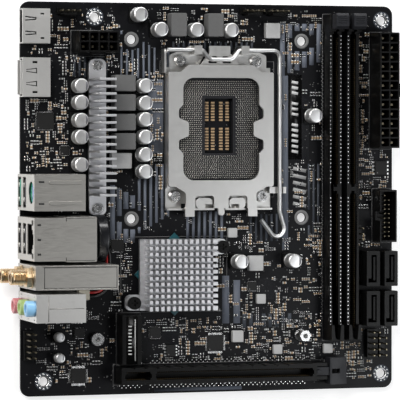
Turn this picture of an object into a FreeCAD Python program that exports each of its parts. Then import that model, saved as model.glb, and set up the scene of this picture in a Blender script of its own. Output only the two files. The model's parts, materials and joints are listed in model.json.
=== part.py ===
import FreeCAD, Part
import math
import os

# A small square computer motherboard: the bare board, its processor socket with a
# hinged load plate and lever, memory and expansion slots, rear sockets, heat sinks
# and power parts. Millimetres. Places are measured from the board's rear right corner
# (x runs away from the rear sockets, y along them) and z = 0 is the board's underside.
# Everything is moved at the end so that the origin is the axis of the datum hole.

# ---------------------------------------------------------------- driving sizes
BOARD_LENGTH = 170.18
BOARD_WIDTH = 170.18
BOARD_T = 1.6
BOARD_CORNER = 4.0
DATUM_X = 10.16
DATUM_Y = 6.35
HOLE_FAR_X = 33.02
HOLE_FRONT_X = 165.10
HOLE_FAR_Y = 163.83
STANDOFF_HOLE_R = 1.98
COOLER_PITCH = 78.0
COOLER_HOLE_R = 2.0
LEAD_BELOW = 1.2
PIN_HOLE_GAP = 0.05
MOVE_GAP = 0.3

SOCKET_X = 88.5
SOCKET_Y = 115.3
PACKAGE_X = 37.5
PACKAGE_Y = 45.0
PACKAGE_GAP = 0.1
SOCKET_WALL = 2.0
SOCKET_SEAT = 2.7
SOCKET_RIM = 1.2
CAVITY_X = 13.0
CAVITY_Y = 24.0
FRAME_T = 1.2
FRAME_GAP = 0.3
FRAME_HALF = 24.0
FRAME_REAR_Y = 80.0
FRAME_SIDE_TOP = 5.4
PLATE_T = 1.5
PLATE_BOTTOM = 6.5
PLATE_HALF = 24.0
PLATE_EDGE_Y = 80.9
PLATE_END_Y = 143.3
WINDOW_HALF = 17.4
WINDOW_LOW_Y = 93.0
WINDOW_HIGH_Y = 137.7
HINGE_Y = 80.3
HINGE_Z = 5.9
PLATE_BEAD_R = 0.75
LEVER_R = 0.95
LEVER_Y = 149.8
LEVER_Z = 7.0
LEVER_ARM_X = SOCKET_X + PLATE_HALF + 3.1
LEVER_RUNNING_GAP = 0.06
SCREW_HEAD_R = 2.8
STUD_R = 1.9
TOP_SCREW_HALF = 17.3
TOP_SCREW_Y = 145.1
LOW_SCREW_HALF = 19.8
LOW_SCREW_Y = 86.0
BACKPLATE_T = 2.0
INSULATOR_T = 0.4

DIMM_X = (140.8, 149.0)
DIMM_LOW_Y = 22.0
DIMM_HIGH_Y = 166.0
DIMM_W = 5.6
DIMM_H = 7.6
DIMM_KEY_Y = 89.0
DIMM_GROOVE = 1.5
DIMM_TOWER_LENGTH = 7.6
DIMM_TOWER_TOP = 12.0
DIMM_LATCH_TOP = 19.0
DIMM_END_H = 11.0
LATCH_PIVOT_UP = 3.4
LATCH_PIVOT_BACK = 2.9

PCIE_Y = 8.55
PCIE_W = 7.4
PCIE_H = 11.25
PCIE_X0 = 42.0
PCIE_X1 = 131.0
PCIE_KEY_X = 56.4
PCIE_GROOVE = 1.8

POWER_PITCH = 4.2
POWER_WALL = 0.7
POWER_H = 12.8
POWER_FLOOR = 2.0
POWER_PIN = 1.1
HEADER_PITCH = 2.54
HEADER_PIN = 0.64
HEADER_BASE_H = 2.5
HEADER_PIN_TOP = 8.6

SHELL_T = 0.4
STACK_H = 31.2
USB_W = 13.1
USB_H = 5.6
USB_LOW = 3.9
USB_HIGH = 12.9
AUDIO_BORE_R = 1.8
AUDIO_UP = (6.0, 18.0, 30.0)
AUDIO_DEPTHS = (14.0, 14.6, 15.2)
JACK_R = 3.4
SMA_R = 3.175
SMA_NECK_R = 2.9
SMA_THREAD = 6.6
SMA_BORE_R = 1.9
SMA_UP = (6.6, 25.2)

CAN_R = 3.15
CAN_H = 8.6
CAN_BASE_H = 1.5
SMALL_CAN_R = 2.1
SMALL_CAN_H = 5.4

VRM_X0 = 29.6
VRM_X1 = 37.2
VRM_Y0 = 78.0
VRM_Y1 = 145.7
VRM_BASE_T = 2.2
MOSFET_H = 1.5
FIN_COUNT = 17
FIN_FIRST_Y = 87.0
FIN_PITCH = 3.1
FIN_T = 1.0
FIN_TOP = 23.0

PCH_X = 68.8
PCH_Y = 52.0
PCH_SINK_X = 33.2
PCH_SINK_Y = 31.0
PCH_BASE_T = 2.0
PCH_TOP = 13.0
PCH_PINS = 12
PCH_PITCH = 2.6
PCH_PIN = 1.55
PCH_SUBSTRATE = 25.7
PCH_SUBSTRATE_T = 0.9
PCH_DIE_T = 1.1

LEAD_WIRE_R = 0.55
POST_BORE_R = 1.0
BATTERY_R = 10.0
BATTERY_T = 4.4

os.makedirs("parts", exist_ok=True)
TOP = BOARD_T
Z = FreeCAD.Vector(0, 0, 1)
X = FreeCAD.Vector(1, 0, 0)
board_cuts = []


# ---------------------------------------------------------------- shape helpers
def vec(x, y, z=0.0):
    return FreeCAD.Vector(x, y, z)


def box(x0, x1, y0, y1, z0, z1):
    """Block between two corners."""
    return Part.makeBox(x1 - x0, y1 - y0, z1 - z0, vec(x0, y0, z0))


def block(cx, cy, w, d, z0, h):
    """Block of width w and depth d centred on (cx, cy)."""
    return box(cx - w / 2, cx + w / 2, cy - d / 2, cy + d / 2, z0, z0 + h)


def rod(x, y, z0, z1, r):
    """Upright round bar."""
    return Part.makeCylinder(r, z1 - z0, vec(x, y, z0))


def rod_x(x0, x1, y, z, r):
    """Round bar along x."""
    return Part.makeCylinder(r, x1 - x0, vec(x0, y, z), X)


def hexagon(x, y, z0, h, across):
    """Upright hexagonal bar, measured across its flats."""
    r = across / math.sqrt(3)
    corners = [vec(x + r * math.cos(math.pi * k / 3), y + r * math.sin(math.pi * k / 3), z0)
               for k in range(7)]
    return Part.Face(Part.makePolygon(corners)).extrude(Z * h)


def filleted_wire(points, radii, closed):
    """Straight runs joined by tangent arcs of the given radii."""
    count = len(points)
    starts = []
    ends = []
    arcs = []
    for i, p in enumerate(points):
        r = radii[i]
        if r <= 0 or (not closed and i in (0, count - 1)):
            starts.append(p)
            ends.append(p)
            arcs.append(None)
            continue
        into = (p - points[i - 1]).normalize()
        out = (points[(i + 1) % count] - p).normalize()
        half = into.getAngle(out) / 2
        reach = r * math.tan(half)
        side = (out - into).normalize()
        mid = p + side * (r / math.cos(half) - r)
        starts.append(p - into * reach)
        ends.append(p + out * reach)
        arcs.append(mid)
    edges = []
    for i in range(count):
        if arcs[i] is not None:
            edges.append(Part.Arc(starts[i], arcs[i], ends[i]).toShape())
        last = i == count - 1
        if last and not closed:
            break
        here = ends[i]
        there = starts[(i + 1) % count]
        if here.distanceToPoint(there) > 1e-6:
            edges.append(Part.LineSegment(here, there).toShape())
    return Part.Wire(edges)


def plate(points, radii, z0, h):
    """Flat plate with an outline of (x, y) corners, each rounded by its radius."""
    if not isinstance(radii, (list, tuple)):
        radii = [radii] * len(points)
    wire = filleted_wire([vec(x, y, z0) for x, y in points], radii, True)
    return Part.Face(wire).extrude(Z * h)


def rounded_block(cx, cy, w, d, z0, h, r):
    """Block with upright edges rounded by r."""
    corners = [(cx - w / 2, cy - d / 2), (cx + w / 2, cy - d / 2),
               (cx + w / 2, cy + d / 2), (cx - w / 2, cy + d / 2)]
    return plate(corners, r, z0, h)


def wire_rod(points, radii, r):
    """Round wire of radius r along straight runs and tangent arcs."""
    path = filleted_wire(points, radii, False)
    along = (points[1] - points[0]).normalize()
    ring = Part.Wire(Part.Circle(points[0], along, r).toShape())
    return path.makePipeShell([ring], True, True)


def fuse(shapes):
    """One solid from several that touch or overlap."""
    return shapes[0].fuse(shapes[1:]).removeSplitter()


def square_pin(x, y, w, z1):
    """Square pin standing in a hole of the board, with its tail below."""
    board_cuts.append(block(x, y, w + 2 * PIN_HOLE_GAP, w + 2 * PIN_HOLE_GAP, -1, BOARD_T + 2))
    return block(x, y, w, w, -LEAD_BELOW, LEAD_BELOW + z1)


def save(name, shapes):
    """Write one node, moved so that the datum hole's axis is the origin."""
    if not isinstance(shapes, (list, tuple)):
        shapes = [shapes]
    solids = []
    for shape in shapes:
        solids += shape.Solids
    for solid in solids:
        if not solid.isValid() or solid.Volume <= 0:
            raise ValueError(name + " has a bad solid")
    group = solids[0] if len(solids) == 1 else Part.makeCompound(solids)
    group.translate(vec(-DATUM_X, -DATUM_Y))
    group.exportStep("parts/" + name + ".step")


# ---------------------------------------------------------------- processor socket
def socket_parts():
    """Plastic seat with a rim, contact field round a cavity, and the cavity's parts."""
    seat_x = PACKAGE_X + 2 * PACKAGE_GAP
    seat_y = PACKAGE_Y + 2 * PACKAGE_GAP
    body = rounded_block(SOCKET_X, SOCKET_Y, seat_x + 2 * SOCKET_WALL, seat_y + 2 * SOCKET_WALL,
                         TOP, SOCKET_SEAT + SOCKET_RIM, 1.0)
    seat = block(SOCKET_X, SOCKET_Y, seat_x, seat_y, TOP + SOCKET_SEAT, SOCKET_RIM + 1)
    cavity = block(SOCKET_X, SOCKET_Y + 1.5, CAVITY_X, CAVITY_Y, TOP - 1, SOCKET_SEAT + 3)
    finger = rod(SOCKET_X - seat_x / 2, SOCKET_Y + 4, TOP + SOCKET_SEAT, TOP + 9, 1.6)
    far_finger = rod(SOCKET_X + seat_x / 2, SOCKET_Y + 4, TOP + SOCKET_SEAT, TOP + 9, 1.6)
    body = body.cut([seat, cavity, finger, far_finger])
    save("socket_body", body)
    field = block(SOCKET_X, SOCKET_Y, seat_x - 1.6, seat_y - 1.6, TOP + SOCKET_SEAT, 0.25)
    hole = block(SOCKET_X, SOCKET_Y + 1.5, CAVITY_X + 1.4, CAVITY_Y + 1.4, TOP, SOCKET_SEAT + 3)
    save("socket_contact_field", field.cut(hole))
    caps = []
    for column in (-5.0, -2.2, 1.5, 4.4):
        for row in range(17):
            if row in (8, 9):
                continue
            y = SOCKET_Y + 1.5 + (row - 8) * 1.27
            caps.append(block(SOCKET_X + column, y, 1.6, 0.8, TOP, 0.7))
    save("socket_capacitors", caps)


def load_frame():
    """Bent steel frame that holds the plate's hinge and the lever's bar."""
    z0 = TOP
    z1 = z0 + FRAME_T
    x0 = SOCKET_X - FRAME_HALF
    x1 = SOCKET_X + FRAME_HALF
    y0 = FRAME_REAR_Y
    inner_x = PACKAGE_X + 2 * (PACKAGE_GAP + SOCKET_WALL + FRAME_GAP)
    inner_y = PACKAGE_Y + 2 * (PACKAGE_GAP + SOCKET_WALL + FRAME_GAP)
    base = box(x0, x1, y0, PLATE_END_Y - 1.0, z0, z1)
    pieces = [base]
    for side in (-1, 1):
        ear = [(SOCKET_X + side * 22.2, PLATE_END_Y - 2), (SOCKET_X + side * 22.2, LEVER_Y - 2.2),
               (SOCKET_X + side * 12.5, LEVER_Y + 2.0), (SOCKET_X + side * 9.0, LEVER_Y + 2.0),
               (SOCKET_X + side * 6.5, LEVER_Y - 2.2), (SOCKET_X + side * 9.8, PLATE_END_Y - 2)]
        if side > 0:
            ear.reverse()
        pieces.append(plate(ear, [0, 1.2, 0, 0, 0, 0] if side < 0 else [0, 0, 0, 0, 1.2, 0], z0,
                            FRAME_T))
        tab_x0 = SOCKET_X + side * 10.75 - 1.8
        tab_top = LEVER_Z + LEVER_R + LEVER_RUNNING_GAP + 0.8
        tab = box(tab_x0, tab_x0 + 3.6, LEVER_Y - 1.9, LEVER_Y + 1.9, z1, tab_top)
        pieces.append(tab)
        flange_x = SOCKET_X + side * (FRAME_HALF - FRAME_T / 2)
        pieces.append(box(flange_x - FRAME_T / 2, flange_x + FRAME_T / 2, y0 + 9.5,
                          PLATE_END_Y - 4, z1, FRAME_SIDE_TOP))
    pieces.append(box(x0, x1, y0, y0 + 0.8, z1, HINGE_Z - 0.15))
    # rounded ears beside the hinge, standing inside the plate's two rear notches
    for side in (-1, 1):
        ear_x = SOCKET_X + side * 7.6
        ear = rounded_block(ear_x, y0 + 3.0, 7.4, 4.6, z1, PLATE_BOTTOM + 0.6 - z1, 1.8)
        relief = box(ear_x - 1.2 - side * 1.6, ear_x + 2.4 - side * 1.6, y0 + 0.5, y0 + 2.6,
                     z1 - 0.1, PLATE_BOTTOM + 2)
        pieces.append(ear.cut(relief))
    # catch that holds the lever's arm down: a shelf with an upturned end
    catch_y = LOW_SCREW_Y + 2.6
    shelf_z = LEVER_Z - LEVER_R - MOVE_GAP
    pieces.append(box(x1 - 0.1, LEVER_ARM_X + 2.6, catch_y - 1.4, catch_y + 1.4,
                      shelf_z - FRAME_T, shelf_z))
    pieces.append(box(LEVER_ARM_X + LEVER_R + MOVE_GAP, LEVER_ARM_X + 2.6, catch_y - 1.4,
                      catch_y + 1.4, shelf_z - 0.1, LEVER_Z + 1.2))
    pieces.append(box(x1 - FRAME_T, x1, catch_y - 1.4, catch_y + 1.4, z1 - 0.1, shelf_z))
    # guard arm on the far side of the lever's bar
    pieces.append(box(x0 - 1.4, x0 - 0.5, PLATE_END_Y - 3.5, LEVER_Y + 0.4, z0, LEVER_Z - 0.8))
    pieces.append(box(x0 - 1.4, x0 + 3.0, PLATE_END_Y - 3.5, PLATE_END_Y - 1.5, z0, z1))
    frame = fuse(pieces)
    cuts = [block(SOCKET_X, SOCKET_Y, inner_x, inner_y, z0 - 1, 20)]
    cuts.append(rod_x(x0 - 5, x1 + 5, LEVER_Y, LEVER_Z, LEVER_R + LEVER_RUNNING_GAP))
    for side in (-1, 1):
        tongue_x = SOCKET_X + side * 14.35
        cuts.append(block(tongue_x, y0 + 1.0, 5.2, 3.6, z0 - 1, 20))
    cuts.append(block(SOCKET_X, y0 + 1.0, 5.0, 3.6, z0 - 1, 20))
    for x, y in screw_places():
        cuts.append(rod(x, y, z0 - 1, z1 + 1, STUD_R + 0.2))
    save("load_frame", frame.cut(cuts))


def screw_places():
    """The four screws of the load frame."""
    return [(SOCKET_X - TOP_SCREW_HALF, TOP_SCREW_Y), (SOCKET_X + TOP_SCREW_HALF, TOP_SCREW_Y),
            (SOCKET_X - LOW_SCREW_HALF, LOW_SCREW_Y), (SOCKET_X + LOW_SCREW_HALF, LOW_SCREW_Y)]


def frame_fasteners():
    """Star-drive screws from above, and the back plate with its threaded posts below."""
    z1 = TOP + FRAME_T
    screws = []
    posts = []
    plate_top = -INSULATOR_T
    for x, y in screw_places():
        head = Part.makeCone(SCREW_HEAD_R, SCREW_HEAD_R - 0.5, 1.9, vec(x, y, z1))
        shank = rod(x, y, BOARD_T - 0.9, z1, 1.25)
        star = [rod(x, y, z1 + 0.7, z1 + 3, 1.1)]
        for k in range(6):
            a = math.pi * k / 3
            star.append(rod(x + 1.15 * math.cos(a), y + 1.15 * math.sin(a), z1 + 0.7, z1 + 3, 0.38))
        screws.append(head.fuse(shank).cut(star).removeSplitter())
        post = rod(x, y, plate_top - BACKPLATE_T, TOP + 0.5, STUD_R)
        posts.append(post.cut(rod(x, y, BOARD_T - 1.3, TOP + 5, 1.3)))
        board_cuts.append(rod(x, y, -1, BOARD_T + 1, STUD_R + 0.2))
    save("frame_screws", screws)
    save("back_plate_posts", posts)
    low = LOW_SCREW_Y - 5.0
    high = TOP_SCREW_Y + 5.0
    left = SOCKET_X - LOW_SCREW_HALF - 5.0
    right = SOCKET_X + LOW_SCREW_HALF + 5.0
    outline = [(left, low), (right, low), (right - 2.4, high), (left + 2.4, high)]
    opening = block(SOCKET_X, SOCKET_Y, PACKAGE_X - 4, PACKAGE_Y - 6, -9, 20)
    steel = plate(outline, 4.0, plate_top - BACKPLATE_T, BACKPLATE_T).cut(opening)
    film = plate(outline, 4.0, -INSULATOR_T, INSULATOR_T).cut(opening)
    holes = [rod(x, y, -9, 9, STUD_R) for x, y in screw_places()]
    save("back_plate", steel.cut(holes))
    save("back_plate_insulator", film.cut(holes))


def load_plate():
    """Pressing plate: lobed window, hinge tongues at one end and a nose at the other."""
    c = SOCKET_X
    top = PLATE_END_Y
    low = PLATE_EDGE_Y
    w = PLATE_HALF
    notch = LOW_SCREW_HALF - SCREW_HEAD_R - 0.9
    half = [(w, LOW_SCREW_Y + 4.2, 1.0), (w, top - 3.1, 0.8), (w - 5.6, top - 3.1, 0.9),
            (w - 9.2, top, 1.2)]
    rear = [(notch, low, 0.4), (notch, LOW_SCREW_Y + 1.6, 2.2), (w - 3.2, LOW_SCREW_Y + 4.2, 0.8)]
    right = rear + half
    points = [(c + x, y) for x, y, r in right] + [(c - x, y) for x, y, r in reversed(right)]
    radii = [r for x, y, r in right] + [r for x, y, r in reversed(right)]
    sheet = plate(points, radii, PLATE_BOTTOM, PLATE_T)
    mid = (WINDOW_LOW_Y + WINDOW_HIGH_Y) / 2
    q = WINDOW_HALF
    side = [(q, WINDOW_LOW_Y, 5.0), (q, mid - 10.6, 1.0), (q + 1.9, mid - 8.6, 1.2),
            (q + 1.9, mid - 4.8, 1.2), (q - 2.6, mid - 3.0, 1.2), (q - 2.6, mid + 3.0, 1.2),
            (q + 1.9, mid + 4.8, 1.2), (q + 1.9, mid + 8.6, 1.2), (q, mid + 10.6, 1.0),
            (q, WINDOW_HIGH_Y, 5.0)]
    points = [(c + x, y) for x, y, r in side] + [(c - x, y) for x, y, r in reversed(side)]
    radii = [r for x, y, r in side] + [r for x, y, r in reversed(side)]
    window = plate(points, radii, PLATE_BOTTOM - 1, PLATE_T + 2)
    cuts = [window]
    for sign in (-1, 1):
        cuts.append(rounded_block(c + sign * 7.6, low + 2.2, 8.6, 6.4, PLATE_BOTTOM - 1, 4, 1.4))
    sheet = sheet.cut(cuts)
    pieces = [sheet]
    # two hinge tongues with rolled beads over the frame's rear flange, and a spring tongue
    for sign in (-1, 1):
        x = c + sign * 14.35
        pieces.append(box(x - 2.1, x + 2.1, low - 3.7, low + 0.5, PLATE_BOTTOM, PLATE_BOTTOM + PLATE_T))
        pieces.append(box(x - 2.1, x + 2.1, low - 3.7, low - 2.5, PLATE_BOTTOM - 1.2, PLATE_BOTTOM))
        pieces.append(rod_x(x - 2.1, x + 2.1, HINGE_Y, HINGE_Z, PLATE_BEAD_R))
    pieces.append(rounded_block(c, low + 0.9, 2.8, 8.2, PLATE_BOTTOM, PLATE_T, 1.2))
    # the nose steps down under the lever's crank
    nose_z = LEVER_Z - LEVER_R - MOVE_GAP - FRAME_T
    apron = [(c - 9.4, top - 0.8), (c + 9.4, top - 0.8), (c + 5.2, top + 4.9), (c - 5.2, top + 4.9)]
    nose = plate(apron, [0, 0, 0.6, 0.6], nose_z, FRAME_T)
    for sign in (-1, 1):
        eye = [(c + sign * 1.2, top + 0.9), (c + sign * 5.6, top + 0.9), (c + sign * 3.6, top + 3.9),
               (c + sign * 1.2, top + 3.9)]
        if sign < 0:
            eye.reverse()
        nose = nose.cut(plate(eye, 0.4, nose_z - 1, 4))
    pieces.append(nose)
    pieces.append(rounded_block(c, top + 6.4, 9.6, 4.0, nose_z, FRAME_T, 0.5))
    pieces.append(box(c - 9.4, c + 9.4, top - 0.8, top, nose_z, PLATE_BOTTOM + 0.2))
    # turned-down sides that stiffen the sheet
    for sign in (-1, 1):
        x = c + sign * (w - 0.4)
        pieces.append(box(x - 0.4, x + 0.4, LOW_SCREW_Y + 6.0, top - 4.4, FRAME_SIDE_TOP + MOVE_GAP,
                          PLATE_BOTTOM + 0.2))
    save("load_plate", fuse(pieces))


def load_lever():
    """Bent wire: cross bar with a crank in the middle, and a long arm with a curled end."""
    left = SOCKET_X - FRAME_HALF - 0.2
    z = LEVER_Z
    y = LEVER_Y
    low = PLATE_END_Y + 2.4
    path = [vec(left, y, z), vec(SOCKET_X - 8.3, y, z), vec(SOCKET_X - 5.2, low, z),
            vec(SOCKET_X + 5.2, low, z), vec(SOCKET_X + 8.3, y, z), vec(LEVER_ARM_X, y, z),
            vec(LEVER_ARM_X, 79.0, z), vec(LEVER_ARM_X + 2.4, 71.0, z),
            vec(LEVER_ARM_X - 1.6, 66.5, z), vec(LEVER_ARM_X - 8.6, 75.6, z)]
    radii = [0, 2.0, 3.2, 3.2, 2.0, 3.2, 6.0, 3.0, 3.0, 0]
    save("load_lever", wire_rod(path, radii, LEVER_R))


# ---------------------------------------------------------------- memory slots
def dimm_slot(name, x):
    """Long slot with a grooved rail, a fixed end with two prongs and a latch tower."""
    body = box(x - DIMM_W / 2, x + DIMM_W / 2, DIMM_LOW_Y + 3, DIMM_HIGH_Y - 1, TOP, TOP + DIMM_H)
    tower = box(x - 3.1, x + 3.1, DIMM_HIGH_Y - DIMM_TOWER_LENGTH, DIMM_HIGH_Y, TOP,
                DIMM_TOWER_TOP)
    end = box(x - 2.9, x + 2.9, DIMM_LOW_Y, DIMM_LOW_Y + 5.0, TOP, TOP + DIMM_H)
    prongs = []
    for sign in (-1, 1):
        lean = [(x + sign * 1.0, DIMM_LOW_Y + 0.4), (x + sign * 2.9, DIMM_LOW_Y + 0.4),
                (x + sign * 2.9, DIMM_LOW_Y + 7.0), (x + sign * 1.6, DIMM_LOW_Y + 7.0)]
        if sign < 0:
            lean.reverse()
        prongs.append(plate(lean, 0, TOP + DIMM_H, DIMM_END_H - DIMM_H))
    shape = fuse([body, tower, end] + prongs)
    depth = 5.4
    groove_low = DIMM_LOW_Y + 4.0
    groove_high = DIMM_HIGH_Y - DIMM_TOWER_LENGTH + 0.2
    cuts = []
    for y0, y1 in ((groove_low, DIMM_KEY_Y - 0.9), (DIMM_KEY_Y + 0.9, groove_high)):
        cuts.append(box(x - DIMM_GROOVE / 2, x + DIMM_GROOVE / 2, y0, y1, TOP + DIMM_H - depth,
                        TOP + DIMM_H + 1))
        # contact chambers either side of the groove
        for sign in (-1, 1):
            inner = x + sign * (DIMM_GROOVE / 2 - 0.1)
            outer = x + sign * (DIMM_GROOVE / 2 + 0.65)
            cuts.append(box(min(inner, outer), max(inner, outer), y0 + 1.2, y1 - 1.2,
                            TOP + DIMM_H - depth, TOP + DIMM_H + 1))
    # latch pocket in the tower, open upwards, outwards and to the groove
    cuts.append(box(x - 2.2, x + 2.2, DIMM_HIGH_Y - DIMM_TOWER_LENGTH + 1.4, DIMM_HIGH_Y + 1,
                    TOP + 1.2, DIMM_TOWER_TOP + 1))
    cuts.append(box(x - DIMM_GROOVE / 2, x + DIMM_GROOVE / 2, DIMM_HIGH_Y - DIMM_TOWER_LENGTH - 1,
                    DIMM_HIGH_Y - 3, TOP + DIMM_H - depth, DIMM_TOWER_TOP + 1))
    cuts.append(dimm_pivot_holes(x))
    save(name, shape.cut(cuts))
    bars = []
    for y0, y1 in ((groove_low, DIMM_KEY_Y - 0.9), (DIMM_KEY_Y + 0.9, groove_high)):
        for sign in (-1, 1):
            cx = x + sign * (DIMM_GROOVE / 2 + 0.35)
            bars.append(block(cx, (y0 + y1) / 2, 0.4, y1 - y0 - 3.0, TOP + DIMM_H - depth, depth - 0.9))
    return bars


def dimm_latch(name, x):
    """Swinging latch with a ribbed thumb pad, a hook and two short pivot pins."""
    y1 = DIMM_HIGH_Y
    y0 = DIMM_HIGH_Y - DIMM_TOWER_LENGTH + 1.4 + MOVE_GAP
    w = 2.2 - MOVE_GAP
    pivot_y = DIMM_HIGH_Y - LATCH_PIVOT_BACK
    pivot_z = TOP + LATCH_PIVOT_UP
    head_low = DIMM_TOWER_TOP + 1.3
    stem = box(x - w, x + w, y0 + 0.6, pivot_y + 1.6, pivot_z, head_low + 0.5)
    heel = rod_x(x - w, x + w, pivot_y, pivot_z, 1.6)
    side = [vec(x - 2.95, y0 - 0.6, head_low), vec(x - 2.95, y1 - 0.4, head_low),
            vec(x - 2.95, y1 + 0.2, DIMM_LATCH_TOP - 0.8), vec(x - 2.95, y1 - 1.2, DIMM_LATCH_TOP),
            vec(x - 2.95, y0 + 0.4, DIMM_LATCH_TOP), vec(x - 2.95, y0 - 0.9, DIMM_LATCH_TOP - 1.6)]
    head = Part.Face(Part.makePolygon(side + [side[0]])).extrude(X * 5.9)
    ribs = [box(x - 2.0, x + 2.0, y0 + 1.5 + k * 1.0, y0 + 1.9 + k * 1.0, DIMM_LATCH_TOP - 0.35,
                DIMM_LATCH_TOP + 1) for k in range(4)]
    hook = box(x - 0.6, x + 0.6, y0 - 0.9, y0 + 1.0, DIMM_TOWER_TOP - 3.6, head_low + 0.5)
    pins = rod_x(x - 2.5, x + 2.5, pivot_y, pivot_z, 0.7)
    save(name, fuse([stem, heel, head, hook, pins]).cut(ribs))


def dimm_pivot_holes(x):
    """Holes of the latch's pivot pins in the tower's two cheeks."""
    return rod_x(x - 2.55, x + 2.55, DIMM_HIGH_Y - LATCH_PIVOT_BACK, TOP + LATCH_PIVOT_UP, 0.75)


# ---------------------------------------------------------------- expansion slot
def pcie_parts():
    """Card slot with a keyed groove, a bracket tail and a press-down latch."""
    y0 = PCIE_Y - PCIE_W / 2
    y1 = PCIE_Y + PCIE_W / 2
    top = TOP + PCIE_H
    body = box(PCIE_X0, PCIE_X1, y0, y1, TOP, top)
    tail_top = TOP + 7.0
    cheeks = []
    for sign in (-1, 1):
        cheek_y = PCIE_Y + sign * (PCIE_W / 2 - 0.8)
        cheeks.append(box(PCIE_X1 - 0.1, PCIE_X1 + 6.4, cheek_y - 0.8, cheek_y + 0.8, TOP, tail_top))
    shape = fuse([body] + cheeks)
    cuts = []
    floor = top - 8.0
    for x0, x1 in ((PCIE_X0 + 1.6, PCIE_KEY_X - 0.9), (PCIE_KEY_X + 0.9, PCIE_X1 - 1.4)):
        cuts.append(box(x0, x1, PCIE_Y - PCIE_GROOVE / 2, PCIE_Y + PCIE_GROOVE / 2, floor, top + 1))
        for sign in (-1, 1):
            ya = PCIE_Y + sign * (PCIE_GROOVE / 2 - 0.1)
            yb = PCIE_Y + sign * (PCIE_GROOVE / 2 + 0.9)
            cuts.append(box(x0 + 0.6, x1 - 0.6, min(ya, yb), max(ya, yb), floor, top + 1))
    # lightening notches along both lower sides
    steps = int((PCIE_X1 - PCIE_X0 - 8) / 5.4)
    for k in range(steps):
        x = PCIE_X0 + 5 + k * 5.4
        cuts.append(box(x, x + 1.0, y0 - 1, y0 + 0.5, TOP + 1.5, top + 1))
        cuts.append(box(x, x + 1.0, y1 - 0.5, y1 + 1, TOP + 1.5, top + 1))
    pivot_x = PCIE_X1 + 3.4
    pivot_z = TOP + 2.6
    for sign in (-1, 1):
        cheek_y = PCIE_Y + sign * (PCIE_W / 2 - 1.1)
        cuts.append(Part.makeCylinder(0.75, 1.4, vec(pivot_x, cheek_y - 0.7, pivot_z), vec(0, 1, 0)))
    save("pcie_slot", shape.cut(cuts))
    half = PCIE_W / 2 - 1.6 - MOVE_GAP
    arm = box(PCIE_X1 + MOVE_GAP + 0.4, PCIE_X1 + 7.6, PCIE_Y - half, PCIE_Y + half, TOP + 1.4,
              TOP + 7.6)
    nose = box(PCIE_X1 + MOVE_GAP, PCIE_X1 + 2.4, PCIE_Y - 0.7, PCIE_Y + 0.7, TOP + 6.0, top - 0.6)
    paddle = [vec(PCIE_X1 + 7.1, PCIE_Y - 5.9, TOP + 2.0), vec(PCIE_X1 + 15.6, PCIE_Y - 5.9, TOP + 4.6),
              vec(PCIE_X1 + 15.6, PCIE_Y - 5.9, TOP + 6.2), vec(PCIE_X1 + 8.6, PCIE_Y - 5.9, TOP + 8.4),
              vec(PCIE_X1 + 7.1, PCIE_Y - 5.9, TOP + 8.4)]
    pad = Part.Face(Part.makePolygon(paddle + [paddle[0]])).extrude(vec(0, 11.8, 0))
    slot = box(PCIE_X1 + 8.0, PCIE_X1 + 12.0, PCIE_Y - 1.0, PCIE_Y + 1.0, TOP, TOP + 12)
    pins = Part.makeCylinder(0.7, 2 * half + 1.2, vec(pivot_x, PCIE_Y - half - 0.6, pivot_z),
                             vec(0, 1, 0))
    save("pcie_latch", fuse([arm, nose, pad, pins]).cut(slot))
    bars = []
    for x0, x1 in ((PCIE_X0 + 1.6, PCIE_KEY_X - 0.9), (PCIE_KEY_X + 0.9, PCIE_X1 - 1.4)):
        for sign in (-1, 1):
            cy = PCIE_Y + sign * (PCIE_GROOVE / 2 + 0.6)
            bars.append(block((x0 + x1) / 2, cy, x1 - x0 - 2.4, 0.4, floor, top - 1.2 - floor))
    return bars


# ---------------------------------------------------------------- power and pin headers
def power_header(name, x, y, columns, rows):
    """Power socket: a block of square wells, a latch ramp, and a pin in each well."""
    w = columns * POWER_PITCH + POWER_WALL
    d = rows * POWER_PITCH + POWER_WALL
    shell = block(x, y, w, d, TOP, POWER_H)
    if rows > columns:
        ramp = block(x + w / 2 + 0.5, y, 1.0, 6.0, TOP + POWER_H - 4.5, 3.0)
    else:
        ramp = block(x, y - d / 2 - 0.5, 6.0, 1.0, TOP + POWER_H - 4.5, 3.0)
    shell = fuse([shell, ramp])
    wells = []
    pins = []
    for i in range(columns):
        for j in range(rows):
            px = x + (i - (columns - 1) / 2) * POWER_PITCH
            py = y + (j - (rows - 1) / 2) * POWER_PITCH
            side = POWER_PITCH - POWER_WALL
            wells.append(block(px, py, side, side, TOP + POWER_FLOOR, POWER_H))
            wells.append(block(px, py, POWER_PIN, POWER_PIN, TOP - 1, POWER_FLOOR + 1.5))
            pins.append(square_pin(px, py, POWER_PIN, TOP + POWER_H - 3.2))
    save(name, shell.cut(wells))
    return pins


def pin_row(x, y, columns, rows, pitch, width, z1):
    """Square header pins in a grid that starts at (x, y)."""
    return [square_pin(x + i * pitch, y + j * pitch, width, z1)
            for i in range(columns) for j in range(rows)]


def header_base(x, y, columns, rows):
    """Plastic strip under a grid of header pins, with its pin holes."""
    w = columns * HEADER_PITCH
    d = rows * HEADER_PITCH
    x0 = x - HEADER_PITCH / 2
    y0 = y - HEADER_PITCH / 2
    holes = [block(x + i * HEADER_PITCH, y + j * HEADER_PITCH, HEADER_PIN, HEADER_PIN, 0, 20)
             for i in range(columns) for j in range(rows)]
    return box(x0, x0 + w, y0, y0 + d, TOP, TOP + HEADER_BASE_H).cut(holes)


def fan_header(x, y, wall_side):
    """Four-pin fan socket: base strip with a friction wall on one side."""
    base = header_base(x, y, 4, 1)
    wall_y = y + wall_side * (HEADER_PITCH / 2 + 0.4)
    wall = box(x + 0.4, x + 6.2, wall_y - 0.5, wall_y + 0.5, TOP, TOP + 8.4)
    return fuse([base, wall])


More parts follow.
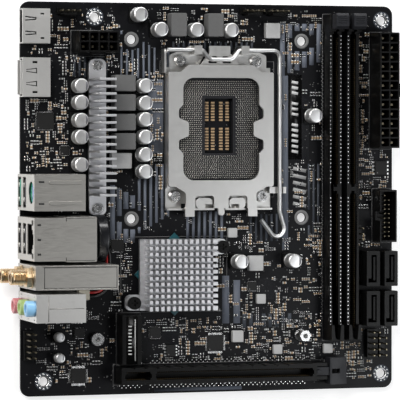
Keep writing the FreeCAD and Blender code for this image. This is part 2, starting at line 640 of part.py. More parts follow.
def headers():
    """Every pin header: power, fans, front panel, audio and front USB."""
    power = power_header("atx_power_socket", 164.4, 132.6, 2, 12)
    power += power_header("cpu_power_socket", 31.8, 152.8, 4, 2)
    top = TOP + HEADER_PIN_TOP
    pins = []
    fans = []
    for x, y in ((17.0, 166.2), (99.9, 167.2), (111.3, 167.2)):
        fans.append(fan_header(x, y, -1))
        pins += pin_row(x, y, 4, 1, HEADER_PITCH, HEADER_PIN, top)
    save("fan_sockets", fans)
    bases = []
    grids = ((158.9, 15.0, 2, 5), (164.6, 15.0, 1, 4), (2.3, 17.0, 2, 5), (153.6, 66.4, 1, 3))
    for x, y, columns, rows in grids:
        bases.append(header_base(x, y, columns, rows))
        pins += pin_row(x, y, columns, rows, HEADER_PITCH, HEADER_PIN, top)
    save("pin_header_bases", bases)
    x = 165.2
    y = 76.9
    shroud = block(x, y, 8.0, 23.2, TOP, 9.0)
    well = block(x, y, 6.6, 21.6, TOP + 1.6, 9.0)
    key = block(x - 3.6, y, 1.6, 4.0, TOP + 3.0, 9.0)
    usb_pins = []
    holes = []
    for i in (-1, 1):
        for j in range(10):
            if i == 1 and j == 9:
                continue
            py = y + (j - 4.5) * 2.0
            usb_pins.append(square_pin(x + i, py, 0.5, TOP + 7.0))
            holes.append(block(x + i, py, 0.5, 0.5, 0, 4))
    save("front_usb_socket", shroud.cut([well, key] + holes))
    save("header_pins", power + pins + usb_pins)


def sata_parts():
    """Four upright drive sockets with L-shaped mouths round a blade tongue."""
    housings = []
    for x in (158.2, 166.6):
        for y in (53.6, 35.9):
            body = rounded_block(x, y, 6.2, 15.6, TOP, 8.9, 0.5)
            foot = block(x - 2.6, y, 3.0, 12.0, TOP, 3.0)
            mouth = block(x + 0.3, y, 2.5, 12.2, TOP + 2.4, 9.0)
            corner = block(x - 1.1, y - 5.2, 2.6, 1.8, TOP + 2.4, 9.0)
            blade = block(x + 0.9, y, 1.2, 10.4, TOP + 2.3, 5.7)
            housings.append(fuse([fuse([body, foot]).cut([mouth, corner]), blade]))
    save("sata_sockets", housings)


# ---------------------------------------------------------------- rear sockets
def spring_cut(x0, x1, y, w0, w1, z):
    """Thin V-shaped slit that leaves a spring finger in a flat cover."""
    t = 0.45
    outer = [(x0, y - w0 / 2), (x1, y - w1 / 2), (x1, y + w1 / 2), (x0, y + w0 / 2)]
    inner = [(x0 - 1, y - w0 / 2 + t), (x1 - t, y - w1 / 2 + t), (x1 - t, y + w1 / 2 - t),
             (x0 - 1, y + w0 / 2 - t)]
    return plate(outer, 0, z - 1, 2).cut(plate(inner, 0, z - 2, 4))


def folded_shell(x0, x1, y0, y1, height):
    """Sheet-metal cover, open underneath."""
    outer = box(x0, x1, y0, y1, TOP, TOP + height)
    inner = box(x0 + SHELL_T, x1 - SHELL_T, y0 + SHELL_T, y1 - SHELL_T, TOP - 1,
                TOP + height - SHELL_T)
    return outer.cut(inner)


def filling(x0, x1, y0, y1, height):
    """Plastic block that fills a folded cover."""
    return box(x0 + SHELL_T, x1 - SHELL_T, y0 + SHELL_T, y1 - SHELL_T, TOP,
               TOP + height - SHELL_T)


def video_sockets():
    """Two low display sockets: a folded metal mouth and a plastic tongue in each."""
    x0 = -0.4
    x1 = 11.9
    for name, y, w, h, mouth_w, mouth_h in (("hdmi", 159.45, 14.9, 6.0, 14.0, 4.6),
                                            ("displayport", 137.5, 16.8, 6.2, 16.0, 4.8)):
        y0 = y - w / 2
        shell = folded_shell(x0, x1, y0, y0 + w, h)
        mouth = block(x0, y, 4.0, mouth_w, TOP + (h - mouth_h) / 2, mouth_h)
        cuts = [mouth]
        top = TOP + h
        if name == "hdmi":
            for side in (-1, 1):
                cuts.append(spring_cut(0.9, 5.8, y + side * 3.1, 2.0, 1.2, top))
                cuts.append(block(8.4, y + side * 5.2, 1.6, 0.7, top - 1, 2))
        else:
            for side in (-1, 1):
                cuts.append(spring_cut(1.2, 6.0, y + side * 2.8, 1.0, 2.4, top))
                cuts.append(block(5.1, y + side * 6.4, 2.2, 0.9, top - 1, 2))
        shell = shell.cut(cuts)
        if name == "displayport":
            flange = box(x0 - 0.9, x0, y0 + 1.0, y0 + w - 1.0, TOP + 0.2, TOP + h - 0.2)
            shell = fuse([shell, flange.cut(block(x0, y, 4.0, mouth_w - 1.2, TOP + 0.7, mouth_h))])
        save(name + "_cover", shell)
        insert = filling(x0, x1, y0, y0 + w, h)
        hollow = block(x0 + 4.5, y, 9.0, mouth_w - 0.6, TOP + 0.6, h - SHELL_T - 0.6)
        tongue = block(x0 + 5.6, y, 7.4, mouth_w - 3.6, TOP + h / 2 - 0.3, 0.8)
        save(name + "_insert", fuse([insert.cut(hollow), tongue]))


def usb_window(x0, y, up):
    """Mouth of one full-size port in a stack's face."""
    return block(x0, y, 3.0, USB_W, TOP + up - USB_H / 2, USB_H)


def usb_hollow(x0, y, up):
    """Port hollow behind the mouth, 11 deep, inside a stack's filling."""
    return block(x0 + SHELL_T + 5.5, y, 11.0, USB_W - 0.8, TOP + up - USB_H / 2 + 0.2, USB_H - 0.4)


def usb_tongue(x0, y, up):
    """Contact tongue that grows out of the hollow's back wall."""
    return block(x0 + SHELL_T + 6.2, y, 10.2, USB_W - 2.2, TOP + up - 0.2, 2.0)


def stacks():
    """Keyboard and network stacks, each over two full-size ports."""
    x0 = -1.2
    # keyboard socket over two ports
    y = 88.35
    w = 15.4
    x1 = 21.0
    din_up = STACK_H - 5.9
    din_r = 4.7
    face = [usb_window(x0, y, USB_LOW), usb_window(x0, y, USB_HIGH),
            rod_x(x0 - 1, x0 + 1, y, TOP + din_up, din_r)]
    shell = folded_shell(x0, x1, y - w / 2, y + w / 2, STACK_H)
    ribs = []
    for side in (-1, 1):
        ribs.append(rounded_block(12.4, y + side * 4.3, 14.4, 1.5, TOP + STACK_H, 0.35, 0.7))
    save("keyboard_stack_cover", fuse([shell.cut(face)] + ribs))
    filler = filling(x0, x1, y - w / 2, y + w / 2, STACK_H)
    hollows = [usb_hollow(x0, y, USB_LOW), usb_hollow(x0, y, USB_HIGH),
               rod_x(x0, x0 + 9, y, TOP + din_up, din_r)]
    tongues = [usb_tongue(x0, y, USB_LOW), usb_tongue(x0, y, USB_HIGH)]
    save("keyboard_stack_insert", fuse([filler.cut(hollows)] + tongues))
    disc = rod_x(x0 + SHELL_T + 0.4, x0 + 9, y, TOP + din_up, din_r)
    pins = [rod_x(x0 - 1, x0 + 6, y + 2.9 * math.cos(a), TOP + din_up + 2.9 * math.sin(a), 0.6)
            for a in [math.pi * (k + 0.5) / 3 for k in range(6)]]
    pins.append(box(x0 - 1, x0 + 6, y - 1.1, y + 1.1, TOP + din_up + 0.2, TOP + din_up + 1.4))
    save("keyboard_socket", disc.cut(pins))
    # network socket over two ports
    y = 68.7
    w = 18.3
    x1 = 25.9
    rj_low = STACK_H - 12.9
    steps = ((13.0, 0.0, 8.4), (8.2, 8.4, 1.5), (4.6, 9.9, 1.2))
    mouth = [block(x0, y, 3.0, wide, TOP + rj_low + up, h) for wide, up, h in steps]
    hollow = [box(x0, x0 + 14.5, y - wide / 2 + 0.3, y + wide / 2 - 0.3, TOP + rj_low + up,
                  TOP + rj_low + up + h) for wide, up, h in steps]
    slots = [block(x0 + 0.5, y + side * 7.0, 2.0, 2.2, TOP + STACK_H - 5.0, 3.2) for side in (-1, 1)]
    face = [usb_window(x0, y, USB_LOW), usb_window(x0, y, USB_HIGH)] + mouth + slots
    shell = folded_shell(x0, x1, y - w / 2, y + w / 2, STACK_H).cut(face)
    flaps = []
    for side in (-1, 1):
        edge = y + side * (w / 2 + 0.2)
        flaps.append(box(12.8, x1 - 0.2, edge - 0.2, edge + 0.2, TOP + 8.0, TOP + STACK_H))
    save("network_stack_cover", fuse([shell] + flaps))
    filler = filling(x0, x1, y - w / 2, y + w / 2, STACK_H)
    hollows = [usb_hollow(x0, y, USB_LOW), usb_hollow(x0, y, USB_HIGH)] + hollow
    tongues = [usb_tongue(x0, y, USB_LOW), usb_tongue(x0, y, USB_HIGH)]
    save("network_stack_insert", fuse([filler.cut(hollows)] + tongues))


def wireless_parts():
    """Upright radio card in a folded bracket with two threaded aerial sockets."""
    x0 = -1.0
    x1 = 35.0
    y = 52.6
    w = 10.4
    height = 32.4
    shell = folded_shell(x0, x1, y - w / 2, y + w / 2, height)
    holes = [rod_x(x0 - 1, x0 + 1, y, TOP + up, SMA_NECK_R) for up in SMA_UP]
    bay = box(x0 + 2.6, x1 + 1, y - w / 2 - 1, y + w / 2 + 1, TOP - 1, TOP + 1.2)
    end_bay = box(x1 - 1, x1 + 1, y - w / 2 + 1, y + w / 2 - 1, TOP - 1, TOP + 14.0)
    rim = []
    for side in (-1, 1):
        rim.append(box(2.2, x1, y + side * (w / 2 - 0.3) - 0.3, y + side * (w / 2 - 0.3) + 0.3,
                       TOP + height - 0.1, TOP + height + 0.3))
    save("wireless_bracket", fuse([shell.cut(holes + [bay, end_bay])] + rim))
    card = box(3.0, 32.0, y - 1.2, y - 0.4, TOP, TOP + 26.0)
    can = box(6.0, 26.0, y - 0.4, y + 1.0, TOP + 8.0, TOP + 23.0)
    save("wireless_card", [card, can])
    jacks = []
    nuts = []
    for up in SMA_UP:
        z = TOP + up
        barrel = rod_x(x0 - 9.4, x0 - 9.4 + SMA_THREAD, y, z, SMA_R)
        neck = rod_x(x0 - 9.4, x0 + 4.0, y, z, SMA_NECK_R)
        bore = rod_x(x0 - 10, x0 + 1.0, y, z, SMA_BORE_R)
        collar = rod_x(x0 + SHELL_T, x0 + 2.6, y, z, 3.9)
        pin = rod_x(x0 - 6.0, x0 + 1.0, y, z, 0.5)
        jacks.append(fuse([fuse([barrel, neck]).cut(bore), collar, pin]))
        nut = hexagon(0, 0, 0, 2.2, 8.0).cut(rod(0, 0, -1, 4, SMA_NECK_R))
        nut.rotate(vec(0, 0), vec(0, 1, 0), -90)
        nut.translate(vec(x0 - 0.5, y, z))
        washer = rod_x(x0 - 0.5, x0, y, z, 4.6).cut(rod_x(x0 - 1, x0 + 1, y, z, SMA_NECK_R))
        nuts += [nut, washer]
    save("aerial_sockets", jacks)
    save("aerial_nuts", nuts)


def audio_parts():
    """Tall audio block with three coloured collars in line with its bores."""
    x0 = -0.9
    x1 = 20.5
    y = 39.7
    w = 12.0
    height = 33.6
    bores = [rod_x(x0 - 6, x0 + depth, y, TOP + up, AUDIO_BORE_R)
             for up, depth in zip(AUDIO_UP, AUDIO_DEPTHS)]
    shell = folded_shell(x0, x1, y - w / 2, y + w / 2, height)
    mouths = [rod_x(x0 - 1, x0 + 1, y, TOP + up, JACK_R) for up in AUDIO_UP]
    slits = []
    for up in AUDIO_UP:
        for side in (-1, 1):
            slits.append(block(x0, y + side * 4.9, 3, 0.5, TOP + up - 0.8, 1.6))
    save("audio_cover", shell.cut(mouths + slits))
    core = filling(x0, x1, y - w / 2, y + w / 2, height)
    save("audio_core", core.cut(bores))
    collars = []
    for up in AUDIO_UP:
        z = TOP + up
        collar = rod_x(x0 - 3.6, x0 + SHELL_T, y, z, JACK_R)
        lip = Part.makeCone(JACK_R - 0.4, JACK_R, 0.4, vec(x0 - 4.0, y, z), X)
        collars.append(collar.fuse(lip).removeSplitter().cut(bores))
    save("audio_collars", collars)


# ---------------------------------------------------------------- power parts and cooling
BIG_CANS = [(25.2, 133.9), (25.2, 126.8), (25.2, 119.1), (25.2, 111.9), (25.2, 100.0),
            (53.8, 134.1), (53.8, 126.6), (53.8, 119.5), (53.8, 111.9), (53.8, 104.3),
            (53.8, 96.9), (51.6, 164.9), (60.8, 158.5), (77.0, 158.5), (92.8, 158.5),
            (131.4, 121.3), (97.3, 57.3), (121.9, 57.4)]
SMALL_CANS = [(16.3, 25.6), (16.4, 16.6)]
DARK_CHOKES = [(44.95, 135.2, 9.4, 7.1, 7.0), (44.95, 126.8, 9.4, 7.1, 7.0),
               (44.95, 118.3, 9.4, 7.1, 7.0), (44.95, 110.0, 9.4, 7.1, 7.0),
               (69.2, 160.7, 7.1, 10.1, 7.0), (85.9, 160.7, 7.1, 10.1, 7.0)]
LIGHT_CHOKES = [(44.1, 101.6, 9.1, 6.8, 4.0), (113.4, 158.7, 6.7, 6.7, 3.0),
                (105.6, 56.4, 6.7, 6.7, 3.0), (95.1, 69.9, 4.2, 4.2, 2.0),
                (108.3, 40.6, 4.2, 4.2, 2.0), (116.0, 18.2, 4.2, 4.2, 2.0),
                (139.5, 18.1, 4.2, 4.2, 2.0), (97.4, 24.3, 5.1, 5.1, 2.4)]
CHIPS = [(87.5, 21.5, 7.0, 7.0, 1.0), (25.5, 8.5, 6.4, 6.4, 1.0), (10.8, 118.8, 7.5, 7.5, 1.0),
         (43.0, 64.7, 5.5, 5.3, 0.9), (164.6, 98.2, 5.4, 6.0, 1.6), (60.0, 26.5, 5.0, 5.0, 0.9),
         (26.0, 27.0, 4.4, 4.4, 0.9), (67.2, 18.6, 4.0, 5.0, 1.2), (19.6, 106.0, 4.0, 4.0, 0.9),
         (104.4, 46.2, 4.0, 4.0, 0.9)]


def capacitor(x, y, r, height):
    """Round aluminium can with a crimped waist and a rounded shoulder, and its foot."""
    z = TOP + CAN_BASE_H
    can = rod(x, y, z, TOP + height, r)
    crimp = rod(x, y, z + 0.9, z + 1.3, r + 1).cut(rod(x, y, z + 0.9, z + 1.3, r - 0.22))
    can = can.cut(crimp)
    rim = [e for e in can.Edges if abs(e.BoundBox.ZMin - TOP - height) < 1e-6
           and abs(e.BoundBox.ZMax - TOP - height) < 1e-6]
    can = can.makeFillet(0.45, rim)
    half = r + 0.15
    foot = [(x - half, y - half), (x + half, y - half), (x + half, y + half), (x - half, y + half)]
    return can, plate(foot, [0.2, 1.2, 1.2, 0.2], TOP, CAN_BASE_H)


def power_parts():
    """Capacitors, chokes, switching transistors and the finned cooler over them."""
    cans = []
    feet = []
    for x, y in BIG_CANS:
        can, foot = capacitor(x, y, CAN_R, CAN_H)
        cans.append(can)
        feet.append(foot)
    for x, y in SMALL_CANS:
        can, foot = capacitor(x, y, SMALL_CAN_R, SMALL_CAN_H)
        cans.append(can)
        feet.append(foot)
    save("capacitor_cans", cans)
    save("capacitor_feet", feet)
    save("dark_chokes", [rounded_block(x, y, w, d, TOP, h, 0.7) for x, y, w, d, h in DARK_CHOKES])
    save("light_chokes", [rounded_block(x, y, w, d, TOP, h, 0.5) for x, y, w, d, h in LIGHT_CHOKES])
    save("chips", [rounded_block(x, y, w, d, TOP, h, 0.15) for x, y, w, d, h in CHIPS])
    middle = (VRM_X0 + VRM_X1) / 2
    count = 7
    step = (FIN_COUNT - 1) * FIN_PITCH / (count - 1)
    save("switching_transistors", [block(middle, FIN_FIRST_Y + k * step, 5.2, 6.0, TOP, MOSFET_H)
                                   for k in range(count)])
    z0 = TOP + MOSFET_H
    z1 = z0 + VRM_BASE_T
    half = (VRM_X1 - VRM_X0) / 2
    ends = (VRM_Y0 + half * 0.8, VRM_Y1 - half * 0.8)
    bar = rounded_block(middle, (VRM_Y0 + VRM_Y1) / 2, 2 * half, VRM_Y1 - VRM_Y0, z0, VRM_BASE_T, 2.6)
    fins = [block(middle, FIN_FIRST_Y + k * FIN_PITCH, 2 * half, FIN_T, z1 - 0.1, FIN_TOP - z1 + 0.1)
            for k in range(FIN_COUNT)]
    holes = [rod(middle, y, 0, z1 + 1, 1.25) for y in ends]
    sinks = [rod(middle, y, z1 - 0.5, z1 + 1, 2.5) for y in ends]
    save("finned_cooler", fuse([bar] + fins).cut(holes + sinks))
    screws = []
    for y in ends:
        head = rod(middle, y, z1 - 0.5, z1 + 0.8, 2.1)
        shank = rod(middle, y, -LEAD_BELOW, z1, 1.2)
        drive = [block(middle, y, 2.4, 0.5, z1, 3), block(middle, y, 0.5, 2.4, z1, 3)]
        screws.append(head.fuse(shank).removeSplitter().cut(drive))
        board_cuts.append(rod(middle, y, -1, BOARD_T + 1, 1.3))
    save("cooler_screws", screws)


def chipset_parts():
    """Diamond-set chip under a pin-field cooler held by two sprung push pins."""
    base_z = TOP + PCH_SUBSTRATE_T + PCH_DIE_T
    base_top = base_z + PCH_BASE_T
    carrier = block(0, 0, PCH_SUBSTRATE, PCH_SUBSTRATE, TOP, PCH_SUBSTRATE_T)
    die = block(0, 0, 9.0, 8.0, TOP + PCH_SUBSTRATE_T, PCH_DIE_T)
    chip = fuse([carrier, die])
    chip.rotate(vec(0, 0), Z, 45)
    chip.translate(vec(PCH_X, PCH_Y))
    save("chipset", chip)
    sink = block(PCH_X, PCH_Y, PCH_SINK_X, PCH_SINK_Y, base_z, PCH_TOP - base_z)
    field = PCH_PINS * PCH_PITCH
    x0 = PCH_X + PCH_SINK_X / 2 - field - 0.2
    y0 = PCH_Y - field / 2
    gap = PCH_PITCH - PCH_PIN
    cuts = [box(PCH_X - PCH_SINK_X / 2 - 1, x0 + gap / 2, y0 - 9, y0 + field + 9, base_top, PCH_TOP + 1)]
    for k in range(1, PCH_PINS):
        cuts.append(box(x0 + k * PCH_PITCH - gap / 2, x0 + k * PCH_PITCH + gap / 2, y0 - 9,
                        y0 + field + 9, base_top, PCH_TOP + 1))
        cuts.append(box(x0 - 9, x0 + field + 9, y0 + k * PCH_PITCH - gap / 2,
                        y0 + k * PCH_PITCH + gap / 2, base_top, PCH_TOP + 1))
    sink = sink.cut(cuts)
    ears = []
    holes = []
    pins = []
    springs = []
    for side in (-1, 1):
        px = PCH_X + side * (PCH_SINK_X / 2 + 3.4)
        py = PCH_Y + side * (PCH_SINK_Y / 2 - 3.5)
        ears.append(rounded_block(PCH_X + side * (PCH_SINK_X / 2 + 2.4), py, 8.4, 6.8, base_z,
                                  PCH_BASE_T - 0.6, 2.6))
        holes.append(rod(px, py, base_z - 1, base_top + 1, 1.6))
        ear_top = base_top - 0.6
        shaft = rod(px, py, -LEAD_BELOW, ear_top + 3.2, 1.4)
        head = rod(px, py, ear_top + 3.0, ear_top + 5.0, 2.8)
        cross = [block(px, py, 3.0, 0.7, ear_top + 4.2, 3), block(px, py, 0.7, 3.0, ear_top + 4.2, 3)]
        pins.append(head.fuse(shaft).removeSplitter().cut(cross))
        springs.append(rod(px, py, ear_top, ear_top + 3.0, 2.3).cut(
            rod(px, py, ear_top, ear_top + 3.0, 1.7)))
        board_cuts.append(rod(px, py, -1, BOARD_T + 1, 1.5))
    save("pin_field_cooler", fuse([sink] + ears).cut(holes))
    save("push_pins", pins)
    save("push_pin_springs", springs)


# ---------------------------------------------------------------- small parts
def drive_socket():
    """Edge socket for a flat drive card, with the card's two posts."""
    x0 = 43.2
    x1 = 51.8
    y0 = 13.3
    y1 = 34.8
    body = box(x0, x1, y0, y1, TOP, TOP + 8.2)
    mouth = box(x1 - 5.6, x1 + 1, y0 + 0.9, y1 - 0.9, TOP + 6.0, TOP + 7.2)
    under = box(x1 - 1.6, x1 + 1, y0 - 1, y1 + 1, TOP + 1.4, TOP + 5.2)
    key = box(x1 - 5.6, x1 + 1, y0 + 4.4, y0 + 5.6, TOP + 5.9, TOP + 7.3)
    save("drive_socket", fuse([body.cut([mouth, under]), key]))
    short = rod(33.8, 24.2, TOP, TOP + 2.4, 2.75).cut(rod(33.8, 24.2, TOP + 0.6, TOP + 4, POST_BORE_R))
    tall = fuse([rod(127.0, 24.3, TOP, TOP + 1.0, 2.7), hexagon(127.0, 24.3, TOP, 7.4, 4.6)])
    tall = tall.cut(rod(127.0, 24.3, TOP + 3.4, TOP + 9, POST_BORE_R))
    save("drive_posts", [short, tall])


RED_ROUTE = [(34.4, 63.0, 4.6), (37.0, 63.0, 4.6), (38.0, 58.4, 1.6), (38.0, 53.0, 0.65),
             (37.6, 48.6, 0.7), (35.6, 45.3, 1.3), (32.6, 44.6, 2.2), (29.6, 44.6, 2.2)]
BLACK_ROUTE = [(34.4, 65.4, 3.2), (37.4, 65.4, 3.2), (39.4, 61.4, 1.1), (39.7, 55.0, 0.65),
               (39.3, 49.2, 0.65), (37.4, 44.6, 0.8), (33.2, 42.9, 2.2), (29.6, 42.9, 2.2)]


def lead(route):
    """Thin insulated lead over the board; each bend is as wide as its runs allow."""
    points = [vec(x, y, TOP + up) for x, y, up in route]
    radii = [0]
    for before, here, after in zip(points, points[1:], points[2:]):
        turn = (here - before).getAngle(after - here)
        shorter = min(here.distanceToPoint(before), here.distanceToPoint(after))
        radii.append(0.45 * shorter / math.tan(turn / 2))
    radii.append(0)
    print("bend radii", [round(r, 1) for r in radii[1:-1]])
    tube = wire_rod(points, radii, LEAD_WIRE_R)
    length = filleted_wire(points, radii, False).Length
    print("volume over section times length", tube.Volume / (math.pi * LEAD_WIRE_R ** 2 * length))
    print("length", length)
    return tube


def battery_parts():
    """Wrapped coin cell on edge, its two leads and their plug."""
    centre_y = 68.6
    z = TOP + 0.4 + BATTERY_R
    cell = rod_x(30.0, 30.0 + BATTERY_T, centre_y, z, BATTERY_R)
    cell = cell.makeFillet(0.6, [e for e in cell.Edges if e.BoundBox.XLength < 1e-6])
    save("coin_battery", cell)
    save("battery_lead_red", lead(RED_ROUTE))
    save("battery_lead_black", lead(BLACK_ROUTE))
    save("battery_plug", box(24.8, 29.6, 41.6, 45.9, TOP, TOP + 4.6))


def bare_board():
    """The board itself, with its mounting, cooler, pin and fastener holes."""
    board = rounded_block(BOARD_LENGTH / 2, BOARD_WIDTH / 2, BOARD_LENGTH, BOARD_WIDTH, 0, BOARD_T,
                          BOARD_CORNER)
    cuts = list(board_cuts)
    for x, y in ((DATUM_X, DATUM_Y), (HOLE_FAR_X, HOLE_FAR_Y), (HOLE_FRONT_X, HOLE_FAR_Y),
                 (HOLE_FRONT_X, DATUM_Y)):
        cuts.append(rod(x, y, -1, BOARD_T + 1, STANDOFF_HOLE_R))
    for i in (-1, 1):
        for j in (-1, 1):
            cuts.append(rod(SOCKET_X + i * COOLER_PITCH / 2, SOCKET_Y + j * COOLER_PITCH / 2, -1,
                            BOARD_T + 1, COOLER_HOLE_R))
    save("board", board.cut(cuts))


socket_parts()
load_frame()
frame_fasteners()
load_plate()
load_lever()
contact_bars = []
for letter, slot_x in zip("ab", DIMM_X):
    contact_bars += dimm_slot("memory_slot_" + letter, slot_x)
    dimm_latch("memory_latch_" + letter, slot_x)
contact_bars += pcie_parts()
save("slot_contacts", contact_bars)
headers()
sata_parts()
video_sockets()
stacks()
wireless_parts()
audio_parts()
power_parts()
chipset_parts()
drive_socket()
battery_parts()
bare_board()
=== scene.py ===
import json
import math
import bmesh
import bpy
import numpy as np
from mathutils import Matrix, Vector


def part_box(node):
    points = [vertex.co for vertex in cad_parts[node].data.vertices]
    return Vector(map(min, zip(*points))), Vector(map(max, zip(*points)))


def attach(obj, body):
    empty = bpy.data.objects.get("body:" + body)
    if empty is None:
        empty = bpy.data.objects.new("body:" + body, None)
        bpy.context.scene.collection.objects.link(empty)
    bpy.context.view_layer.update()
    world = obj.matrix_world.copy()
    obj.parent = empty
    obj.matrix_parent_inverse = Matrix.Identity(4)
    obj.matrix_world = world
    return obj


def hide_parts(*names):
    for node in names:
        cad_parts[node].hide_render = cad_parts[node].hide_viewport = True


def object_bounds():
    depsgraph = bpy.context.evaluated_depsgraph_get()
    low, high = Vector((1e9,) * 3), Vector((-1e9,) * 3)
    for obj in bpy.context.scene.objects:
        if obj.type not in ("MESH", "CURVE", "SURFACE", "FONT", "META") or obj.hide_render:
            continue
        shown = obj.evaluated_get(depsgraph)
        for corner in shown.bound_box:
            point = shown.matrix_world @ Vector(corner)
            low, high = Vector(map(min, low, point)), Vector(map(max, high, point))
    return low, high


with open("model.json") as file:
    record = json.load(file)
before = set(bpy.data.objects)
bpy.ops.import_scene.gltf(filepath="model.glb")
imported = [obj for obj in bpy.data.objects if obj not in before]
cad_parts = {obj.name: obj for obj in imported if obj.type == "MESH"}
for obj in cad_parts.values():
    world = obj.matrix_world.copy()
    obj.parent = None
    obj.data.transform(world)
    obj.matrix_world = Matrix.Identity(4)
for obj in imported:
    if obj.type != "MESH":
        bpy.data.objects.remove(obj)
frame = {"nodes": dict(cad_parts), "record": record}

CAD_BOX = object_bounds()
MM = 0.001
ROOT = "board_assembly"
BOARD_LOW, BOARD_HIGH = (np.array(corner, float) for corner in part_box("board"))
CORNER = np.array([BOARD_LOW[0], BOARD_LOW[1], 0.0])
TOP = BOARD_HIGH[2] / MM
rng = np.random.default_rng(20)


# ------------------------------------------------------------------ places and meshes
def at(x, y, z=0.0):
    """Row-frame point, in metres, of a place in millimetres from the board's corner."""
    return CORNER + np.array([x, y, z], float) * MM


def span(node):
    """Lowest and highest corners of a node, in millimetres from the board's corner."""
    low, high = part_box(node)
    return (np.array(low) - CORNER) / MM, (np.array(high) - CORNER) / MM


def mesh_piece(name, points, faces, finish, body=ROOT, smooth=False, stands_for=()):
    """A piece from points in millimetres (board corner frame) and faces of equal length."""
    points = np.asarray(points, float).reshape(-1, 3) * MM + CORNER
    faces = np.asarray(faces, int)
    sides = faces.shape[1]
    mesh = bpy.data.meshes.new(name)
    mesh.vertices.add(len(points))
    mesh.vertices.foreach_set("co", points.astype(np.float32).ravel())
    mesh.loops.add(faces.size)
    mesh.loops.foreach_set("vertex_index", faces.astype(np.int32).ravel())
    mesh.polygons.add(len(faces))
    mesh.polygons.foreach_set("loop_start", np.arange(0, faces.size, sides, dtype=np.int32))
    mesh.update(calc_edges=True)
    mesh.validate()
    piece = bpy.data.objects.new(name, mesh)
    return settle(piece, finish, body, smooth, stands_for)


def settle(piece, finish, body=ROOT, smooth=False, stands_for=()):
    """Links a piece, gives it its finish and hangs it on its body."""
    if piece.name not in bpy.context.scene.collection.all_objects:
        bpy.context.scene.collection.objects.link(piece)
    piece.data.materials.clear()
    piece.data.materials.append(finish)
    if smooth:
        piece.data.polygons.foreach_set("use_smooth", [True] * len(piece.data.polygons))
        angle = smooth if isinstance(smooth, float) else 40.0
        sharpen(piece.data, angle)
    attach(piece, body)
    if stands_for:
        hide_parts(*stands_for)
    return piece


def sharpen(mesh, degrees):
    """Marks edges whose faces meet at more than this angle as sharp."""
    work = bmesh.new()
    work.from_mesh(mesh)
    limit = math.radians(degrees)
    for edge in work.edges:
        edge.smooth = len(edge.link_faces) == 2 and edge.calc_face_angle(0.0) < limit
    work.to_mesh(mesh)
    work.free()


BOX_POINTS = np.array([[x, y, z] for z in (0, 1) for y in (-0.5, 0.5) for x in (-0.5, 0.5)], float)
BOX_FACES = np.array([[0, 2, 3, 1], [4, 5, 7, 6], [0, 1, 5, 4], [2, 6, 7, 3], [0, 4, 6, 2],
                      [1, 3, 7, 5]])


def chamfered_points(c):
    """Unit block whose top is pulled in by c, with a flat just under it: 12 points."""
    low = BOX_POINTS[:4]
    mid = low + [0, 0, 1 - c]
    high = low * [1 - c, 1 - c, 1] + [0, 0, 1]
    return np.concatenate([low, mid, high])


CHIP_POINTS = chamfered_points(0.12)
CHIP_FACES = np.array([[0, 2, 3, 1], [8, 9, 11, 10], [0, 1, 5, 4], [1, 3, 7, 5], [3, 2, 6, 7],
                       [2, 0, 4, 6], [4, 5, 9, 8], [5, 7, 11, 9], [7, 6, 10, 11], [6, 4, 8, 10]])


def repeated(points, faces, places, sizes, turns=0.0):
    """One shape at many places: points times sizes, turned about z, plus places."""
    places = np.asarray(places, float).reshape(-1, 3)
    count = len(places)
    sizes = np.broadcast_to(np.asarray(sizes, float), (count, 3))
    turns = np.radians(np.broadcast_to(np.asarray(turns, float), (count,)))
    shaped = points[None] * sizes[:, None]
    cos, sin = np.cos(turns)[:, None], np.sin(turns)[:, None]
    x = shaped[..., 0] * cos - shaped[..., 1] * sin
    y = shaped[..., 0] * sin + shaped[..., 1] * cos
    placed = np.stack([x, y, shaped[..., 2]], -1) + places[:, None]
    steps = (np.arange(count) * len(points))[:, None, None]
    return placed.reshape(-1, 3), (faces[None] + steps).reshape(-1, faces.shape[1])


def boxes(name, places, sizes, finish, turns=0.0, body=ROOT, chamfer=False):
    """Many small blocks standing on their places, plain or with chamfered tops."""
    shape = (CHIP_POINTS, CHIP_FACES) if chamfer else (BOX_POINTS, BOX_FACES)
    points, faces = repeated(*shape, places, sizes, turns)
    return mesh_piece(name, points, faces, finish, body)


def turned_shape(profile, sides=32):
    """Surface of revolution about z: (radius, height) profile, from pole to pole.

    Point (i, k) = (r_i cos a_k, r_i sin a_k, z_i) with a_k = 2 pi k / sides; the two ends
    are closed by single pole points.
    """
    profile = np.asarray(profile, float)
    angle = np.linspace(0, 2 * np.pi, sides, endpoint=False)
    ring = np.stack([np.cos(angle), np.sin(angle)], -1)
    body = profile[1:-1]
    points = np.concatenate([
        [[0, 0, profile[0, 1]]],
        np.concatenate([body[:, None, :1] * ring[None],
                        np.broadcast_to(body[:, None, 1:], (len(body), sides, 1))], -1).reshape(-1, 3),
        [[0, 0, profile[-1, 1]]]])
    k = np.arange(sides)
    nxt = (k + 1) % sides
    faces = []
    for row in range(len(body) - 1):
        a = 1 + row * sides
        b = a + sides
        faces.append(np.stack([a + k, a + nxt, b + nxt, b + k], -1))
    last = 1 + (len(body) - 1) * sides
    top = len(points) - 1
    caps = [np.stack([np.zeros(sides, int), 1 + nxt, 1 + k], -1),
            np.stack([np.full(sides, top), last + k, last + nxt], -1)]
    return points, np.concatenate(faces), np.concatenate(caps)


